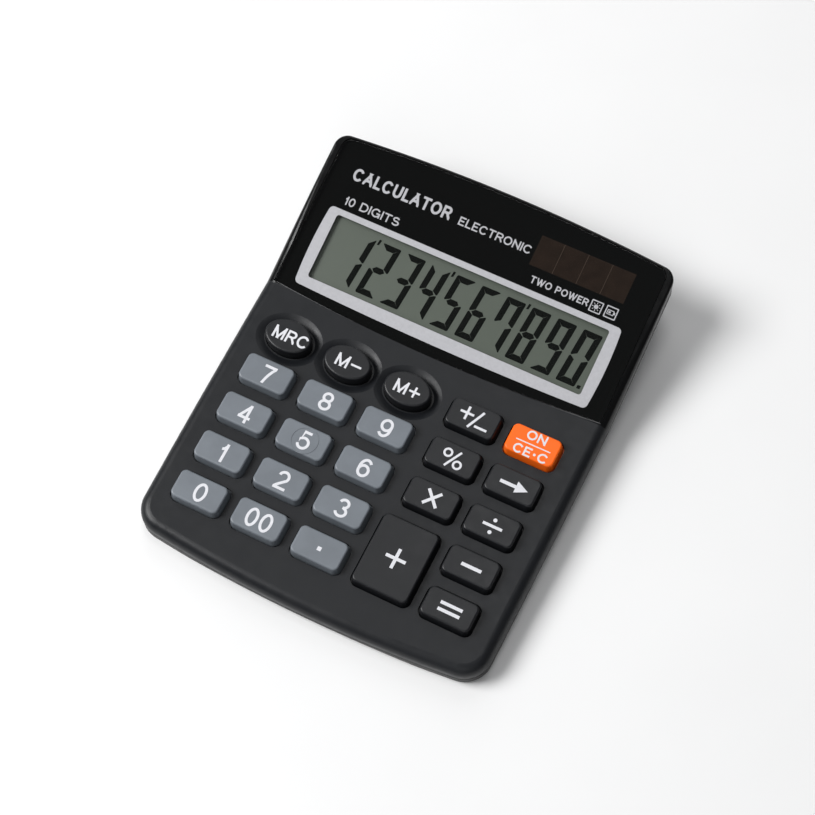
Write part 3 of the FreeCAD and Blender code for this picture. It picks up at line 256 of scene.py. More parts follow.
# Each sign: its width as a share of its height, then its strokes across the unit box.
SIGNS = {
    "0": (0.64, [(LOOP, 0.5, 0.5, 0.5, 0.5)]),
    "1": (0.34, [[(1, 0), (1, 1)],
                 [(0, 0.715), (0.30, 0.725), (0.62, 0.78), (0.84, 0.88), (1, 1)]]),
    "2": (0.64, [arc(0.5, 0.71, 0.48, 0.29, 172, -38)
                 + [(0.44, 0.30), (0.13, 0.13), (0.02, 0)], [(0, 0), (1, 0)]]),
    "3": (0.64, [arc(0.48, 0.76, 0.44, 0.24, 168, -90),
                 arc(0.48, 0.26, 0.52, 0.26, 90, -168)]),
    "4": (0.66, [[(0.76, 0), (0.76, 1)], [(0.74, 0.995), (0, 0.26)], [(0, 0.26), (1, 0.26)]]),
    "5": (0.64, [[(0.92, 1), (0.17, 1)],
                 [(0.17, 1), (0.06, 0.47)] + arc(0.47, 0.32, 0.53, 0.32, 140, -165)]),
    "6": (0.64, [(LOOP, 0.5, 0.32, 0.5, 0.32),
                 arc(0.54, 0.55, 0.54, 0.45, 38, 180) + [(0, 0.32)]]),
    "7": (0.64, [[(0, 1), (1, 1)],
                 [(1, 1), (0.80, 0.78), (0.60, 0.52), (0.46, 0.27), (0.38, 0)]]),
    "8": (0.64, [(LOOP, 0.5, 0.755, 0.43, 0.245), (LOOP, 0.5, 0.265, 0.5, 0.265)]),
    "9": (0.64, [(LOOP, 0.5, 0.68, 0.5, 0.32),
                 arc(0.46, 0.45, 0.54, 0.45, -142, 0) + [(1, 0.68)]]),
    "A": (0.86, [[(0, 0), (0.5, 1)], [(1, 0), (0.5, 1)], [(0.2, 0.32), (0.8, 0.32)]]),
    "C": (0.90, [arc(0.52, 0.5, 0.52, 0.5, 36, 324)]),
    "D": (0.84, [STEM, [(0, 1)] + arc(0.45, 0.5, 0.55, 0.5, 90, -90) + [(0, 0)]]),
    "E": (0.70, [STEM, [(0, 1), (1, 1)], [(0, 0.52), (0.93, 0.52)], [(0, 0), (1, 0)]]),
    "G": (0.92, [arc(0.5, 0.5, 0.5, 0.5, 38, 335), [(0.58, 0.46), (1, 0.46)],
                 [(1, 0.46), (1, 0)]]),
    "I": (0.0, [STEM]),
    "L": (0.64, [STEM, [(0, 0), (1, 0)]]),
    "M": (0.96, [STEM, [(0, 1), (0.5, 0)], [(0.5, 0), (1, 1)], [(1, 0), (1, 1)]]),
    "N": (0.82, [STEM, [(0, 1), (1, 0)], [(1, 0), (1, 1)]]),
    "O": (0.94, [(LOOP, 0.5, 0.5, 0.5, 0.5)]),
    "P": (0.74, [STEM, [(0, 1)] + arc(0.58, 0.73, 0.42, 0.27, 90, -90) + [(0, 0.46)]]),
    "R": (0.80, [STEM, [(0, 1)] + arc(0.58, 0.74, 0.40, 0.26, 90, -90) + [(0, 0.48)],
                 [(0.58, 0.48), (1, 0)]]),
    "S": (0.76, [arc(0.5, 0.755, 0.45, 0.245, 22, 255)
                 + arc(0.5, 0.265, 0.5, 0.265, 75, -160)]),
    "T": (0.78, [[(0, 1), (1, 1)], [(0.5, 0), (0.5, 1)]]),
    "U": (0.80, [[(0, 1)] + arc(0.5, 0.36, 0.5, 0.36, 180, 360) + [(1, 1)]]),
    "W": (1.20, [[(0, 1), (0.27, 0)], [(0.27, 0), (0.5, 1)], [(0.5, 1), (0.73, 0)],
                 [(0.73, 0), (1, 1)]]),
}
WORD_GAP = 0.34
LETTER_GAP = 0.13


def stretched_end(point, inner, pen):
    """The end of a stroke, carried on past the sign's box where it meets the box's edge."""
    along = (Vector(point) - Vector(inner)).normalized()
    upright = point[1] in (0, 1) and abs(along.y) > 1e-3
    level = point[0] in (0, 1) and abs(along.y) < 1e-3
    return along * pen * 1.5 if upright or level else Vector((0, 0))


def sign(letter, left, base, width, height, pen):
    """One sign's filled strokes, cut off level at the edges of its box."""
    def place(point):
        return Vector((left + pen / 2 + point[0] * (width - pen),
                       base + pen / 2 + point[1] * (height - pen)))

    quads = []
    for stroke in SIGNS[letter][1]:
        if stroke[0] == LOOP:
            points = [place(point) for point in arc(*stroke[1:], 0, 350, 35)]
            quads += ribbon(points, pen, closed=True)
            continue
        points = [place(point) for point in stroke]
        points[0] = points[0] + stretched_end(stroke[0], stroke[1], pen)
        points[-1] = points[-1] + stretched_end(stroke[-1], stroke[-2], pen)
        quads += ribbon(points, pen)
    return fill(quads, clip=rectangle(left, base, left + width, base + height))


def words(text, left, right, base, height, pen):
    """A line of signs, spread to fill the width from left to right."""
    widths = [SIGNS[letter][0] if letter != " " else WORD_GAP for letter in text]
    natural = [max(width * height, pen) for width in widths]
    gap = LETTER_GAP * height
    fixed = sum(width for letter, width in zip(text, natural) if letter == "I")
    spare = sum(natural) - fixed + gap * (len(text) - 1)
    share = (right - left - fixed) / spare
    parts = []
    for letter, width in zip(text, natural):
        width = width if letter == "I" else width * share
        if letter != " ":
            parts.append(sign(letter, left, base, width, height, pen))
        left += width + gap * share
    return parts


def bars(strokes, pen):
    """Straight strokes with square ends, joined."""
    return [fill([quad for stroke in strokes for quad in ribbon(stroke, pen)])]


# ------------------------------------------------------------------------------------------
# materials
# ------------------------------------------------------------------------------------------

class Recipe:
    """A node material being put together."""

    def __init__(self, name):
        self.made = bpy.data.materials.new(name)
        self.made.use_nodes = True
        self.tree = self.made.node_tree
        self.tree.nodes.clear()
        self.output = self.add("ShaderNodeOutputMaterial")
        self.place = self.add("ShaderNodeTexCoord").outputs["Object"]

    def add(self, kind, **values):
        """A new node with its sockets set, or linked where the value is a socket."""
        node = self.tree.nodes.new(kind)
        for key, value in values.items():
            self.put(node, key.replace("_", " "), value)
        return node

    def put(self, node, socket, value):
        """Sets or links one input."""
        if isinstance(value, bpy.types.NodeSocket):
            self.tree.links.new(value, node.inputs[socket])
        else:
            node.inputs[socket].default_value = value

    def noise(self, size_mm, detail=2.0, rough=0.5):
        """Cloudy pattern with patches of about the given size."""
        node = self.add("ShaderNodeTexNoise", Vector=self.place, Scale=1.0 / (size_mm * MM),
                        Detail=detail, Roughness=rough)
        return node.outputs["Fac"]

    def spread(self, source, low, high, start=0.3, stop=0.7):
        """The pattern carried to a range of values."""
        node = self.add("ShaderNodeMapRange", Value=source, From_Min=start, From_Max=stop,
                        To_Min=low, To_Max=high)
        return node.outputs["Result"]

    def tint(self, source, first, second, start=0.3, stop=0.7):
        """The pattern carried to a range of colours."""
        ramp = self.tree.nodes.new("ShaderNodeValToRGB")
        ramp.color_ramp.elements[0].position = start
        ramp.color_ramp.elements[1].position = stop
        ramp.color_ramp.elements[0].color = (*first, 1.0)
        ramp.color_ramp.elements[1].color = (*second, 1.0)
        self.put(ramp, "Fac", source)
        return ramp.outputs["Color"]

    def bump(self, source, depth_mm, strength=1.0, under=None):
        """Fine relief from a pattern."""
        node = self.add("ShaderNodeBump", Height=source, Distance=depth_mm * MM,
                        Strength=strength)
        if under is not None:
            self.put(node, "Normal", under)
        return node.outputs["Normal"]

    def math(self, operation, *values):
        """Arithmetic on numbers or sockets."""
        node = self.tree.nodes.new("ShaderNodeMath")
        node.operation = operation
        for index, value in enumerate(values):
            self.put(node, index, value)
        return node.outputs["Value"]

    def level(self, upright):
        """How far the surface lies square to a direction: 1 where it does, 0 along it."""
        dot = self.tree.nodes.new("ShaderNodeVectorMath")
        dot.operation = "DOT_PRODUCT"
        self.put(dot, 0, self.add("ShaderNodeNewGeometry").outputs["True Normal"])
        self.put(dot, 1, upright)
        return self.math("ABSOLUTE", dot.outputs["Value"])

    def mixed(self, share, first, second):
        """Two shader nodes mixed by a share."""
        node = self.tree.nodes.new("ShaderNodeMixShader")
        self.put(node, 0, share)
        self.put(node, 1, first.outputs["BSDF"])
        self.put(node, 2, second.outputs["BSDF"])
        return node.outputs["Shader"]

    def finish(self, shader):
        """Sends the shader to the output."""
        self.tree.links.new(shader, self.output.inputs["Surface"])
        return self.made


CLOUD_MM = 9.0
GLOSS_MM = 3.1
GLOSS_SPREAD = 0.04
SPECULAR = "Specular IOR Level"
SHADE_AND_POLISH_EDGE = (0.05, 0.35)
CLEAR_REFLECTION = 0.04


def shade(colour, share):
    """The colour made lighter or darker."""
    return tuple(channel * share for channel in colour)


def plastic(name, colour, roughness, grain_mm, depth_mm, specular=0.5, mottle=0.08):
    """Moulded plastic: a spark-eroded grain, faint clouds of colour and of gloss."""
    recipe = Recipe(name)
    clouds = recipe.noise(CLOUD_MM, 3.0, 0.6)
    fine = recipe.noise(grain_mm, 2.0, 0.55)
    body = recipe.tint(clouds, shade(colour, 1 - mottle), shade(colour, 1 + mottle))
    gloss = recipe.spread(recipe.noise(GLOSS_MM), roughness - GLOSS_SPREAD,
                          roughness + GLOSS_SPREAD)
    shader = recipe.add("ShaderNodeBsdfPrincipled", Base_Color=body, Roughness=gloss,
                        Normal=recipe.bump(fine, depth_mm))
    shader.inputs[SPECULAR].default_value = specular
    return recipe.finish(shader.outputs["BSDF"])


def case_finish(name, grained, polished_and_shaded):
    """Grained plastic round the keys; round the display a higher polish and a darker black, the
    darker colour being painted shade on the rim and sides.
    """
    recipe = Recipe(name)
    parts = recipe.add("ShaderNodeSeparateXYZ", Vector=recipe.place)
    # Mask for the display block, where the gloss is raised and the colour darkened as painted
    # shade.
    fold = DISPLAY.translation.y
    share = recipe.spread(parts.outputs["Y"], 0.0, 1.0, fold + SHADE_AND_POLISH_EDGE[0] * MM,
                          fold + SHADE_AND_POLISH_EDGE[1] * MM)
    clouds = recipe.noise(CLOUD_MM, 3.0, 0.6)
    gloss = recipe.noise(GLOSS_MM)
    rough = recipe.add("ShaderNodeBsdfPrincipled",
                       Base_Color=recipe.tint(clouds, shade(grained, 0.92), shade(grained, 1.08)),
                       Roughness=recipe.spread(gloss, 0.36, 0.44),
                       Normal=recipe.bump(recipe.noise(0.22, 2.0, 0.55), 0.012))
    rough.inputs[SPECULAR].default_value = 0.30
    # Display block: the lower roughness is a real polish, the darker colour is painted shade.
    smooth_shaded = recipe.add("ShaderNodeBsdfPrincipled",
                        Base_Color=recipe.tint(clouds, shade(polished_and_shaded, 0.9), shade(polished_and_shaded, 1.1)),
                        Roughness=recipe.spread(gloss, 0.18, 0.24),
                        Normal=recipe.bump(gloss, 0.004))
    smooth_shaded.inputs[SPECULAR].default_value = 0.25
    return recipe.finish(recipe.mixed(share, rough, smooth_shaded))


def ink(name, colour, roughness, specular=0.3):
    """Screen-printed ink: slightly uneven, with a fine tooth."""
    recipe = Recipe(name)
    body = recipe.tint(recipe.noise(0.9, 3.0), shade(colour, 0.95), shade(colour, 1.03))
    shader = recipe.add("ShaderNodeBsdfPrincipled", Base_Color=body, Roughness=roughness,
                        Normal=recipe.bump(recipe.noise(0.12), 0.004))
    shader.inputs[SPECULAR].default_value = specular
    return recipe.finish(shader.outputs["BSDF"])


def clear_window(name):
    """Clear acrylic with a hard polish and the faintest haze, satin at its cut edges."""
    recipe = Recipe(name)
    slope = math.radians(DISPLAY_TILT)
    level = recipe.level((0.0, -math.sin(slope), math.cos(slope)))
    satin = recipe.spread(level, 0.30, 0.0, 0.90, 0.99)
    haze = recipe.math("ADD", recipe.spread(recipe.noise(6.0, 4.0, 0.65), 0.012, 0.03), satin)
    wave = recipe.bump(recipe.noise(7.0), 0.004)
    facing = recipe.add("ShaderNodeLayerWeight", Normal=wave).outputs["Facing"]
    grazing = recipe.math("POWER", facing, 5.0)
    mirrored = recipe.math("MULTIPLY_ADD", grazing, 1 - CLEAR_REFLECTION, CLEAR_REFLECTION)
    through = recipe.add("ShaderNodeBsdfTransparent", Color=(0.98, 0.985, 0.98, 1.0))
    mirror = recipe.add("ShaderNodeBsdfAnisotropic", Roughness=haze, Normal=wave)
    return recipe.finish(recipe.mixed(mirrored, through, mirror))


def display_film(name):
    """Grey-green polariser over a finely grained reflector."""
    recipe = Recipe(name)
    grain = recipe.noise(0.11, 2.0, 0.6)
    body = recipe.tint(grain, (0.080, 0.095, 0.076), (0.097, 0.113, 0.091))
    shader = recipe.add("ShaderNodeBsdfPrincipled", Base_Color=body, Roughness=0.38,
                        Normal=recipe.bump(recipe.noise(0.2), 0.003))
    return recipe.finish(shader.outputs["BSDF"])


def solar_film(name):
    """Amorphous cell: dark brown with a faint violet drift."""
    recipe = Recipe(name)
    body = recipe.tint(recipe.noise(4.0, 3.0), (0.0130, 0.0078, 0.0055), (0.0180, 0.0105, 0.0075))
    shader = recipe.add("ShaderNodeBsdfPrincipled", Base_Color=body, Roughness=0.3,
                        Normal=recipe.bump(recipe.noise(0.3), 0.002))
    return recipe.finish(shader.outputs["BSDF"])


def tinted_print(name):
    """Brown filter printed over the solar cell, part clear."""
    recipe = Recipe(name)
    body = recipe.tint(recipe.noise(3.0, 3.0), (0.0250, 0.0165, 0.0125),
                       (0.0330, 0.0215, 0.0160))
    cover = recipe.add("ShaderNodeBsdfPrincipled", Base_Color=body, Roughness=0.6)
    cover.inputs[SPECULAR].default_value = 0.0
    through = recipe.add("ShaderNodeBsdfTransparent", Color=(0.62, 0.55, 0.50, 1.0))
    return recipe.finish(recipe.mixed(0.35, cover, through))


def metal(name, colour, roughness, size_mm):
    """Plated metal with fine tumbling marks."""
    recipe = Recipe(name)
    marks = recipe.noise(size_mm, 3.0, 0.7)
    shader = recipe.add("ShaderNodeBsdfPrincipled", Metallic=1.0,
                        Base_Color=recipe.tint(marks, shade(colour, 0.85), colour),
                        Roughness=recipe.spread(marks, roughness - 0.08, roughness + 0.12),
                        Normal=recipe.bump(marks, 0.006))
    return recipe.finish(shader.outputs["BSDF"])


def board_finish(name):
    """Green solder mask over woven glass laminate."""
    recipe = Recipe(name)
    weave = recipe.add("ShaderNodeTexWave", Vector=recipe.place, Scale=900.0, Distortion=1.5)
    body = recipe.tint(weave.outputs["Fac"], (0.010, 0.075, 0.028), (0.016, 0.105, 0.040))
    shader = recipe.add("ShaderNodeBsdfPrincipled", Base_Color=body, Roughness=0.34,
                        Normal=recipe.bump(weave.outputs["Fac"], 0.01))
    return recipe.finish(shader.outputs["BSDF"])


def clear_sheet(name):
    """Thin glass of the display cell."""
    recipe = Recipe(name)
    shader = recipe.add("ShaderNodeBsdfPrincipled", Alpha=0.35, IOR=1.52,
                        Base_Color=recipe.tint(recipe.noise(5.0), (0.70, 0.76, 0.72),
                                               (0.78, 0.83, 0.79)),
                        Roughness=0.06)
    return recipe.finish(shader.outputs["BSDF"])


# The second colour is the display block's: darker than the grained case as painted shade.
CASE_PLASTIC = case_finish("case_plastic", (0.0085, 0.0095, 0.0115), (0.0030, 0.0031, 0.0033))
COVER_PLASTIC = plastic("cover_plastic", (0.016, 0.016, 0.016), 0.50, 0.25, 0.020)
DIGIT_PLASTIC = plastic("digit_key_plastic", (0.150, 0.168, 0.190), 0.42, 0.13, 0.006)
DARK_PLASTIC = plastic("dark_key_plastic", (0.0075, 0.0082, 0.0100), 0.38, 0.13, 0.006, 0.36)
ORANGE_PLASTIC = plastic("orange_key_plastic", (0.97, 0.140, 0.006), 0.42, 0.13, 0.006,
                         0.30, mottle=0.04)
MEMBRANE_RUBBER = plastic("membrane_rubber", (0.30, 0.31, 0.32), 0.62, 0.25, 0.015)
FOOT_RUBBER = plastic("foot_rubber", (0.018, 0.018, 0.019), 0.78, 0.30, 0.030)
RESIN = plastic("chip_resin", (0.008, 0.008, 0.009), 0.25, 0.60, 0.020)
TAPE = plastic("black_tape", (0.012, 0.012, 0.013), 0.70, 0.20, 0.010)
RED_SLEEVE = plastic("red_sleeve", (0.45, 0.02, 0.015), 0.45, 0.20, 0.005)
BLACK_SLEEVE = plastic("black_sleeve", (0.012, 0.012, 0.012), 0.45, 0.20, 0.005)
RIBBON_FILM = plastic("ribbon_film", (0.42, 0.27, 0.09), 0.35, 0.30, 0.004)
REFLECTOR = plastic("reflector_film", (0.50, 0.52, 0.48), 0.35, 0.12, 0.004)
BLACK_INK = ink("black_ink", (0.0030, 0.0032, 0.0031), 0.60, 0.0)
WHITE_INK = ink("white_ink", (0.51, 0.505, 0.535), 0.60, 0.0)
# Painted highlight: pale grey ink for the line of light along the window's front edge.
PAINTED_HIGHLIGHT_INK = ink("painted_highlight_ink", (0.30, 0.30, 0.31), 0.50, 0.0)
LEGEND_INK = ink("legend_ink", (0.70, 0.705, 0.74), 0.50)
SEGMENT_INK = ink("segment_ink", (0.0022, 0.0032, 0.0022), 0.45, 0.0)
DIVIDER_INK = ink("divider_ink", (0.052, 0.038, 0.030), 0.40, 0.0)
WINDOW = clear_window("window_acrylic")
DISPLAY_FILM = display_film("display_film")
DISPLAY_GLASS = clear_sheet("display_glass")
SOLAR_FILM = solar_film("solar_film")
SOLAR_TINT = tinted_print("solar_tint")
BOARD = board_finish("board_mask")
STEEL = metal("plated_steel", (0.62, 0.62, 0.60), 0.30, 0.5)

NODE_FINISH = {
    "front_case": CASE_PLASTIC,
    "rear_cover": COVER_PLASTIC,
    "display_window": WINDOW,
    "window_tape": TAPE,
    "lcd_front_film": DISPLAY_FILM,
    "lcd_front_glass": DISPLAY_GLASS,
    "lcd_rear_glass": DISPLAY_GLASS,
    "lcd_reflector": REFLECTOR,
    "lcd_ribbon": RIBBON_FILM,
    "solar_cell": SOLAR_FILM,
    "solar_wire_positive": RED_SLEEVE,
    "solar_wire_negative": BLACK_SLEEVE,
    "circuit_board": BOARD,
    "key_membrane": MEMBRANE_RUBBER,
    "controller_chip": RESIN,
    "capacitor": RESIN,
    "chip_resistors": RESIN,
    "button_cell": STEEL,
    "cell_contact": STEEL,
    "cell_clip": STEEL,
    "board_screws": STEEL,
    "case_screws": STEEL,
    "foot_front_left": FOOT_RUBBER,
    "foot_front_right": FOOT_RUBBER,
    "foot_rear_left": FOOT_RUBBER,
    "foot_rear_right": FOOT_RUBBER,
}
DARK_KEYS = ("key_memory_recall", "key_memory_minus", "key_memory_plus", "key_sign",
             "key_percent", "key_multiply", "key_backspace", "key_divide", "key_minus",
             "key_equals", "key_plus")


def finish_nodes():
    """Gives every CAD node its material."""
    for name, node in nodes.items():
        made = NODE_FINISH.get(name, DIGIT_PLASTIC)
        if name in DARK_KEYS:
            made = DARK_PLASTIC
        if name == "key_on_clear":
            made = ORANGE_PLASTIC
        if not node.material_slots:
            node.data.materials.append(made)
        for slot in node.material_slots:
            slot.material = made


# ------------------------------------------------------------------------------------------
# display panel: prints under the window, digits, solar cell dividers
# ------------------------------------------------------------------------------------------

LCD_OPENING = (-42.3, 5.65, 41.65, 25.25)
FRAME_OUTER = (-45.1, 2.8, 44.5, 27.0)
FRAME_BOW = (0.9, 0.6)
SOLAR_OPENING = (13.4, 33.5, 41.8, 42.5)
SOLAR_DIVIDERS = (20.4, 27.6, 34.8)
TITLE_BASE = 36.0
# Place, width and inset of the painted highlight line along the window's front edge.
LINE_PLACE = 0.15
LINE_WIDTH = 0.2
LINE_INSET = 0.2
BLACK_INSET = 0.12
OPENING_CORNER = 0.8
FRAME_CORNER = 1.2
PICTURE_SIZE = 3.5
PICTURE_LINE = 0.32
DIVIDER_HALF = 0.09


def window_outline(inset):
    """Outline of the clear window in the display frame, drawn in by a margin."""
    points = [point.to_2d() for point in local_points("display_window", DISPLAY)]
    hull = anticlockwise([points[index] for index in convex_hull_2d(points)])
    outline = []
    for before, point, after in zip(hull[-1:] + hull[:-1], hull, hull[1:] + hull[:1]):
        along = (after - before).normalized()
        outline.append(point + Vector((-along.y, along.x)) * inset)
    return outline


def black_print():
    """Black back-print with its two clear openings."""
    openings = [rounded(*LCD_OPENING, OPENING_CORNER), rectangle(*SOLAR_OPENING)]
    layer = [fill([window_outline(BLACK_INSET)], openings)]
    thin_piece("window_print_black", layer, DISPLAY, *BLACK_PRINT, BLACK_INK, "case", "tape")


def painted_fold_highlight():
    """Thin pale grey line along the front edge of the window: a painted highlight for the light
    that edge catches at the fold.
    """
    outline = window_outline(LINE_INSET)
    front = [point + Vector((0.0, LINE_PLACE)) for point in outline]
    rear = [point + Vector((0.0, LINE_PLACE + LINE_WIDTH)) for point in outline]
    thin_piece("painted_fold_highlight", [fill([front], [rear])], DISPLAY, *WHITE_PRINT, PAINTED_HIGHLIGHT_INK,
               "case", "tape")


def white_frame():
    """White surround of the display."""
    outer = bowed(rounded(*FRAME_OUTER, FRAME_CORNER), FRAME_OUTER, *FRAME_BOW)
    surround = [fill([outer], [rounded(*LCD_OPENING, OPENING_CORNER)])]
    thin_piece("display_surround", surround, DISPLAY, *WHITE_PRINT, WHITE_INK, "case", "tape")


def picture_frame(x, y):
    """Square line round a small picture."""
    half = PICTURE_SIZE / 2
    inner = half - PICTURE_LINE
    return fill([rounded(x - half, y - half, x + half, y + half, 0.25)],
                [rounded(x - inner, y - inner, x + inner, y + inner, 0.1)])


def sun_picture(x, y):
    """Framed disc with rays: works by light."""
    parts = [picture_frame(x, y), fill([disc(x, y, 0.62)])]
    middle = Vector((x, y))
    for turn in range(8):
        angle = math.radians(45 * turn)
        along = Vector((math.cos(angle), math.sin(angle)))
        parts += bars([[middle + along * 0.82, middle + along * 1.24]], 0.2)
    return parts


def cell_picture(x, y):
    """Framed battery: works by battery too."""
    return [picture_frame(x, y),
            fill([rounded(x - 1.15, y - 0.7, x + 0.85, y + 0.7, 0.15)],
                 [rounded(x - 0.92, y - 0.47, x + 0.62, y + 0.47, 0.1)]),
            fill([rectangle(x + 0.85, y - 0.32, x + 1.18, y + 0.32)]),
            fill([rectangle(x - 0.72, y - 0.28, x - 0.1, y + 0.28)])]


def panel_lettering():
    """Plain words and two small pictures in white."""
    parts = words("CALCULATOR", -43.2, -12.6, TITLE_BASE, 3.8, 0.72)
    parts += words("ELECTRONIC", -9.8, 12.4, TITLE_BASE, 2.5, 0.42)
    parts += words("10 DIGITS", -42.2, -25.0, 28.6, 2.55, 0.42)
    parts += words("TWO POWER", 15.6, 33.0, 28.9, 2.1, 0.38)
    parts += sun_picture(35.4, 29.85)
    parts += cell_picture(39.8, 29.95)
    thin_piece("panel_lettering", parts, DISPLAY, *WHITE_PRINT, WHITE_INK, "case", "tape")


DIGIT_WIDTH = 5.65
DIGIT_HEIGHT = 15.9
DIGIT_PITCH = 7.72
DIGIT_BASE = 7.3
DIGIT_SLANT = math.tan(math.radians(5.5))
FIRST_RIGHT_EDGE = -30.5
SEGMENT = 1.75
GAP = 0.07
SEGMENTS_LIT = {"1": "bc", "2": "abged", "3": "abgcd", "4": "fgbc", "5": "afgcd",
                "6": "afgedc", "7": "fabc", "8": "abcdefg", "9": "abcdfg", "0": "abcdef"}


def segment_outlines():
    """The seven bars of a digit, upright, from its lower left corner."""
    w, h, t, k = DIGIT_WIDTH, DIGIT_HEIGHT, SEGMENT, GAP
    m = h / 2
    shapes = {
        "a": [(k + 0.25, h), (k, h - 0.2), (t + k, h - t), (w - t - k, h - t), (w - k, h - 0.2),
              (w - k - 0.25, h)],
        "f": [(0, h - k - 0.3), (0, m + k + 0.3), (0.3, m + k), (t, m + t / 2 + k),
              (t, h - t - k), (0.15, h - k - 0.15)],
        "g": [(t / 2 + k, m), (t + k, m + t / 2), (w - t - k, m + t / 2), (w - t / 2 - k, m),
              (w - t - k, m - t / 2), (t + k, m - t / 2)],
    }
    shapes["b"] = [(w - x, y) for x, y in shapes["f"]]
    shapes["c"] = [(w - x, h - y) for x, y in shapes["f"]]
    shapes["e"] = [(x, h - y) for x, y in shapes["f"]]
    shapes["d"] = [(x, h - y) for x, y in shapes["a"]]
    return shapes


def slanted(outline, left):
    """An upright outline leaned to the right and moved to its place."""
    return [(left + x + y * DIGIT_SLANT, DIGIT_BASE + y) for x, y in outline]


def display_digits():
    """The row of seven-segment digits, with thousands marks and the point."""
    shapes = segment_outlines()
    parts = []
    for place, digit in enumerate("1234567890"):
        left = FIRST_RIGHT_EDGE - DIGIT_WIDTH + DIGIT_PITCH * place
        for segment in SEGMENTS_LIT[digit]:
            parts.append(fill([slanted(shapes[segment], left)]))
        edge = DIGIT_WIDTH + 0.45
        if digit in "147":
            mark = [(edge + 0.1, 14.6), (edge + 0.75, 14.75), (edge + 0.85, 16.3),
                    (edge + 0.15, 16.3)]
            parts.append(fill([slanted(mark, left)]))
        if digit == "0":
            parts.append(fill([slanted(rectangle(edge + 0.15, 0, edge + 1.15, 1.0), left)]))
    top = local_box("lcd_front_film", DISPLAY)[1].z
    thin_piece("display_digits", parts, DISPLAY, top + 0.004, top + 0.03, SEGMENT_INK, "case",
               "polariser")


def solar_tint():
    """Brown filter over the solar opening, level with the black print."""
    thin_piece("solar_filter", [fill([rectangle(*SOLAR_OPENING)])], DISPLAY, *BLACK_PRINT,
               SOLAR_TINT, "case", "solar")


def solar_dividers():
    """Thin lines between the four cells of the solar panel."""
    low, high = SOLAR_OPENING[1], SOLAR_OPENING[3]
    parts = [fill([rectangle(x - DIVIDER_HALF, low, x + DIVIDER_HALF, high)])
             for x in SOLAR_DIVIDERS]
    thin_piece("solar_dividers", parts, DISPLAY, BLACK_PRINT[1] + 0.002, WHITE_PRINT[1],
               DIVIDER_INK, "case", "solar")


# ------------------------------------------------------------------------------------------
# key legends, in millimetres from the middle of each key's top
# ------------------------------------------------------------------------------------------

LEGEND_PEN = 0.78
FIGURE_ROW = (-3.0, 5.5, LEGEND_PEN)
MEMORY_ROW = (-2.0, 3.75, 0.62)
CLEAR_SIZE = (2.75, 0.5)
RING_PLACE = (0.45, -0.25)
RING_RADIUS = 3.75
RING_PEN = 0.32
RING_RELIEF = 0.10


def digit_legend(digit):
    """One digit, standing a little right of the middle."""
    left, right = (-0.75, 1.25) if digit == "1" else (-1.3, 2.3)
    return words(digit, left, right, *FIGURE_ROW)


def ring(x, y, radius, pen):
    """Round line."""
    return [fill(ribbon(arc(x, y, radius, radius, 0, 352, 44), pen, closed=True))]


def percent_legend():
    """Two small rings and a slash."""
    return (ring(-1.7, 0.85, 1.05, 0.6) + ring(2.0, -1.55, 1.05, 0.6)
            + bars([[(-1.2, -2.95), (1.7, 2.25)]], 0.62))


def arrow_legend():
    """Arrow to the right."""
    head = [(1.0, 1.45), (4.5, -0.25), (1.0, -1.95)]
    return [fill([*ribbon([(-3.6, -0.25), (1.3, -0.25)], 0.95), head])]


def clear_legend():
    """Two rows of letters with a line between them."""
    return (words("ON", -2.75, 2.95, 0.9, *CLEAR_SIZE)
            + words("CE", -4.6, 0.55, -3.95, *CLEAR_SIZE)
            + words("C", 2.55, 5.3, -3.95, *CLEAR_SIZE)
            + [fill([disc(1.5, -2.55, 0.38)])]
            + bars([[(-4.9, -0.25), (5.1, -0.2)]], 0.32))


def legends():
    """The legend of every key, by node name."""
    table = {f"key_{digit}": digit_legend(digit) for digit in "0123456789"}
    table["key_double_zero"] = words("00", -3.6, 4.0, *FIGURE_ROW)
    table["key_point"] = [fill([rectangle(-0.4, -0.9, 0.75, 0.25)])]
    table["key_memory_recall"] = words("MRC", -4.3, 6.2, *MEMORY_ROW)
    table["key_memory_minus"] = (words("M", -3.15, 0.5, *MEMORY_ROW)
                                 + bars([[(1.25, -0.2), (4.35, -0.2)]], 0.6))
    table["key_memory_plus"] = (words("M", -3.6, 0.05, *MEMORY_ROW)
                                + bars([[(0.7, -0.2), (3.9, -0.2)], [(2.3, -1.8), (2.3, 1.4)]],
                                       0.6))
    table["key_sign"] = bars([[(-4.1, 0.65), (-0.1, 0.65)], [(-2.1, -1.35), (-2.1, 2.65)],
                              [(-0.46, -3.04), (2.16, 2.58)], [(1.2, -2.06), (4.85, -2.06)]],
                             0.68)
    table["key_percent"] = percent_legend()
    table["key_multiply"] = bars([[(-1.68, 2.1), (2.24, -2.25)], [(-1.72, -2.3), (2.2, 2.05)]],
                                 0.85)
    table["key_on_clear"] = clear_legend()
    table["key_backspace"] = arrow_legend()
    table["key_divide"] = (bars([[(-2.6, -0.2), (3.0, -0.2)]], 0.8)
                           + [fill([disc(0.2, 1.6, 0.55)]), fill([disc(0.2, -2.0, 0.55)])])
    table["key_minus"] = bars([[(-2.7, -0.2), (3.1, -0.2)]], 0.95)
    table["key_equals"] = bars([[(-2.9, 0.75), (3.4, 0.75)], [(-2.9, -1.15), (3.4, -1.15)]],
                               0.9)
    table["key_plus"] = bars([[(-2.7, -0.3), (3.1, -0.3)], [(0.2, -3.2), (0.2, 2.6)]], 0.9)
    return table


def key_slot(name):
    """Label naming a key's kind of plastic."""
    if name == "key_on_clear":
        return "orange_key"
    return "dark_key" if name in DARK_KEYS else "digit_key"


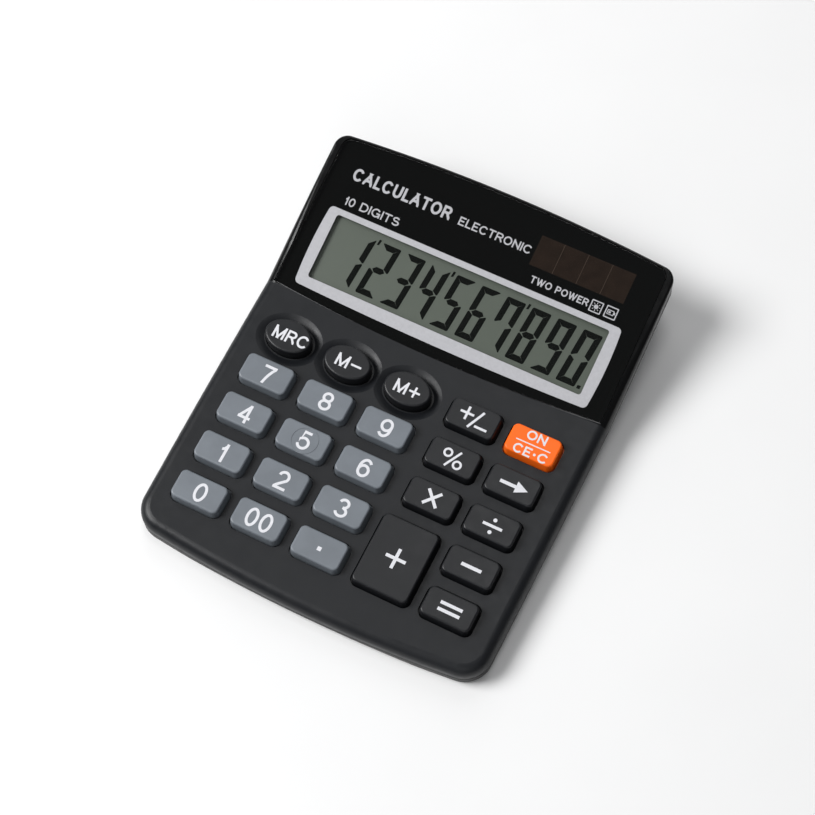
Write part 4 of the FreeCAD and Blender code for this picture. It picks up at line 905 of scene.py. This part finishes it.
def print_legends():
    """Puts each legend on its key, to travel with it."""
    for name, parts in legends().items():
        low, high = local_box(name, KEYPAD)
        middle = (low + high) / 2
        place = KEYPAD @ Matrix.Translation((middle.x, middle.y, high.z))
        thin_piece(f"legend_{name}", parts, place, -LEGEND_ROOT, LEGEND_RELIEF, LEGEND_INK,
                   name, key_slot(name))
    low, high = local_box("key_5", KEYPAD)
    place = KEYPAD @ Matrix.Translation(((low.x + high.x) / 2, (low.y + high.y) / 2, high.z))
    thin_piece("guide_ring", ring(*RING_PLACE, RING_RADIUS, RING_PEN), place, -LEGEND_ROOT,
               RING_RELIEF, DIGIT_PLASTIC, "key_5", "digit_key")


# ------------------------------------------------------------------------------------------
# rubber membrane: a still sheet, and a dome under each key
# ------------------------------------------------------------------------------------------

SHEET_THICKNESS = 0.5
DOME_BASE_RADIUS = 3.9
DOME_TOP_RADIUS = 2.3
DOME_HEIGHT = 1.3
DOME_SKIN = 0.35
DOME_SIDES = 48


def turned(profile, place):
    """Vertices and faces of a closed outline of (radius, height), turned about the upright."""
    vertices = []
    rings = []
    for radius, height in profile:
        count = DOME_SIDES if radius else 1
        rings.append(range(len(vertices), len(vertices) + count))
        for step in range(count):
            angle = math.tau * step / DOME_SIDES
            point = Vector((radius * math.cos(angle), radius * math.sin(angle), height))
            vertices.append(tuple(place @ point))
    faces = []
    for ring, after in zip(rings, rings[1:] + rings[:1]):
        if len(ring) == len(after) == 1:
            continue
        for step in range(DOME_SIDES):
            turn = (step + 1) % DOME_SIDES
            corners = [ring[step % len(ring)], ring[turn % len(ring)],
                       after[turn % len(after)], after[step % len(after)]]
            faces.append(list(dict.fromkeys(corners)))
    return vertices, faces


def rubber_dome(key, centre):
    """One hollow dome, its foot in the sheet under a key."""
    roof = DOME_HEIGHT - DOME_SKIN
    foot = DOME_BASE_RADIUS - DOME_SKIN
    profile = [(foot, -SHEET_THICKNESS), (DOME_BASE_RADIUS, -SHEET_THICKNESS),
               (DOME_BASE_RADIUS, 0.0), (DOME_TOP_RADIUS + 0.1, DOME_HEIGHT - 0.1),
               (DOME_TOP_RADIUS - 0.1, DOME_HEIGHT), (0.0, DOME_HEIGHT), (0.0, roof),
               (DOME_TOP_RADIUS - DOME_SKIN, roof), (foot, 0.0)]
    place = KEYPAD @ Matrix.Translation(centre)
    mesh = bpy.data.meshes.new(f"dome_{key}")
    vertices, faces = turned(profile, place)
    mesh.from_pydata(vertices, [], faces)
    mesh.materials.append(MEMBRANE_RUBBER)
    dome = bpy.data.objects.new(f"dome_{key}", mesh)
    bpy.context.collection.objects.link(dome)
    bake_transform(dome)


def membrane():
    """The sheet with a hole for every dome, and the domes."""
    low, high = local_box("key_membrane", KEYPAD)
    top = low.z + SHEET_THICKNESS
    holes = []
    for key in (name for name in nodes if name.startswith("key_") and name != "key_membrane"):
        near, far = local_box(key, KEYPAD)
        centre = Vector(((near.x + far.x) / 2, (near.y + far.y) / 2, top))
        holes.append(arc(centre.x, centre.y, DOME_BASE_RADIUS, DOME_BASE_RADIUS, 0,
                         360 - 360 / DOME_SIDES, DOME_SIDES - 1))
        rubber_dome(key, centre)
    sheet = thin_piece("membrane_sheet", [fill([rectangle(low.x, low.y, high.x, high.y)], holes)],
                       KEYPAD, low.z, top, MEMBRANE_RUBBER, "case", "membrane")
    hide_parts("key_membrane")


# ------------------------------------------------------------------------------------------
# studio: floor, lights, camera
# ------------------------------------------------------------------------------------------

FLOOR_HALF = 3.0
AIR_COLOUR = (0.95, 0.97, 1.0, 1.0)
AIR_STRENGTH = 0.12


def floor():
    """Wide pale sheet under the object."""
    recipe = Recipe("pale_floor")
    body = recipe.tint(recipe.noise(60.0, 3.0), (0.86, 0.86, 0.86), (0.88, 0.88, 0.88))
    shader = recipe.add("ShaderNodeBsdfPrincipled", Base_Color=body, Roughness=0.9)
    shader.inputs[SPECULAR].default_value = 0.1
    made = recipe.finish(shader.outputs["BSDF"])
    half = FLOOR_HALF
    mesh = bpy.data.meshes.new("floor")
    corners = [(-half, -half, 0), (half, -half, 0), (half, half, 0), (-half, half, 0)]
    mesh.from_pydata(corners, [], [(0, 1, 2, 3)])
    mesh.materials.append(made)
    sheet = bpy.data.objects.new("floor", mesh)
    bpy.context.collection.objects.link(sheet)


def softbox(name, place, size, power):
    """Square area light turned to the object."""
    lamp = bpy.data.lights.new(name, "AREA")
    lamp.shape = "SQUARE"
    lamp.size = size
    lamp.energy = power
    holder = bpy.data.objects.new(name, lamp)
    holder.location = place
    holder.rotation_euler = (-Vector(place)).to_track_quat("-Z", "Y").to_euler()
    bpy.context.collection.objects.link(holder)


def studio():
    """Soft light from high on the left, weaker ones above, behind and in front, dim air."""
    softbox("light_above", (-0.06, 0.38, 1.60), 0.40, 2.7)
    softbox("light_left", (-0.96, -0.375, 1.08), 0.70, 24.0)
    softbox("light_rear_left", (-0.45, 1.10, 0.85), 1.3, 5.0)
    softbox("light_front", (0.35, -1.15, 1.05), 1.2, 4.0)
    world = bpy.data.worlds.new("studio_air")
    world.use_nodes = True
    air = world.node_tree.nodes["Background"]
    air.inputs["Color"].default_value = AIR_COLOUR
    air.inputs["Strength"].default_value = AIR_STRENGTH
    bpy.context.scene.world = world


CAMERA_TARGET = Vector((1.07, -1.28, 10.0)) * MM
CAMERA_DISTANCE = 0.5297
CAMERA_AZIMUTH = 30.924
CAMERA_ELEVATION = 65.655
CAMERA_ROLL = -4.498
CAMERA_LENS = 86.09
CAMERA_SENSOR = 36.0


def camera():
    """Camera high up on the front right, leaning a little."""
    turn = math.radians(CAMERA_AZIMUTH)
    rise = math.radians(CAMERA_ELEVATION)
    back = Vector((math.sin(turn) * math.cos(rise), -math.cos(turn) * math.cos(rise),
                   math.sin(rise)))
    level = Vector((math.cos(turn), math.sin(turn), 0.0))
    right = Matrix.Rotation(math.radians(CAMERA_ROLL), 3, back) @ level
    up = back.cross(right)
    pose = Matrix((right, up, back)).transposed().to_4x4()
    pose.translation = CAMERA_TARGET + back * CAMERA_DISTANCE
    lens = bpy.data.cameras.new("camera")
    lens.lens = CAMERA_LENS
    lens.sensor_width = CAMERA_SENSOR
    lens.clip_start = 0.01
    holder = bpy.data.objects.new("camera", lens)
    holder.matrix_world = pose
    bpy.context.collection.objects.link(holder)
    bpy.context.scene.camera = holder


camera()
studio()
floor()
finish_nodes()
black_print()
painted_fold_highlight()
white_frame()
panel_lettering()
display_digits()
solar_tint()
solar_dividers()
print_legends()
membrane()
bpy.context.scene.view_settings.view_transform = "Standard"
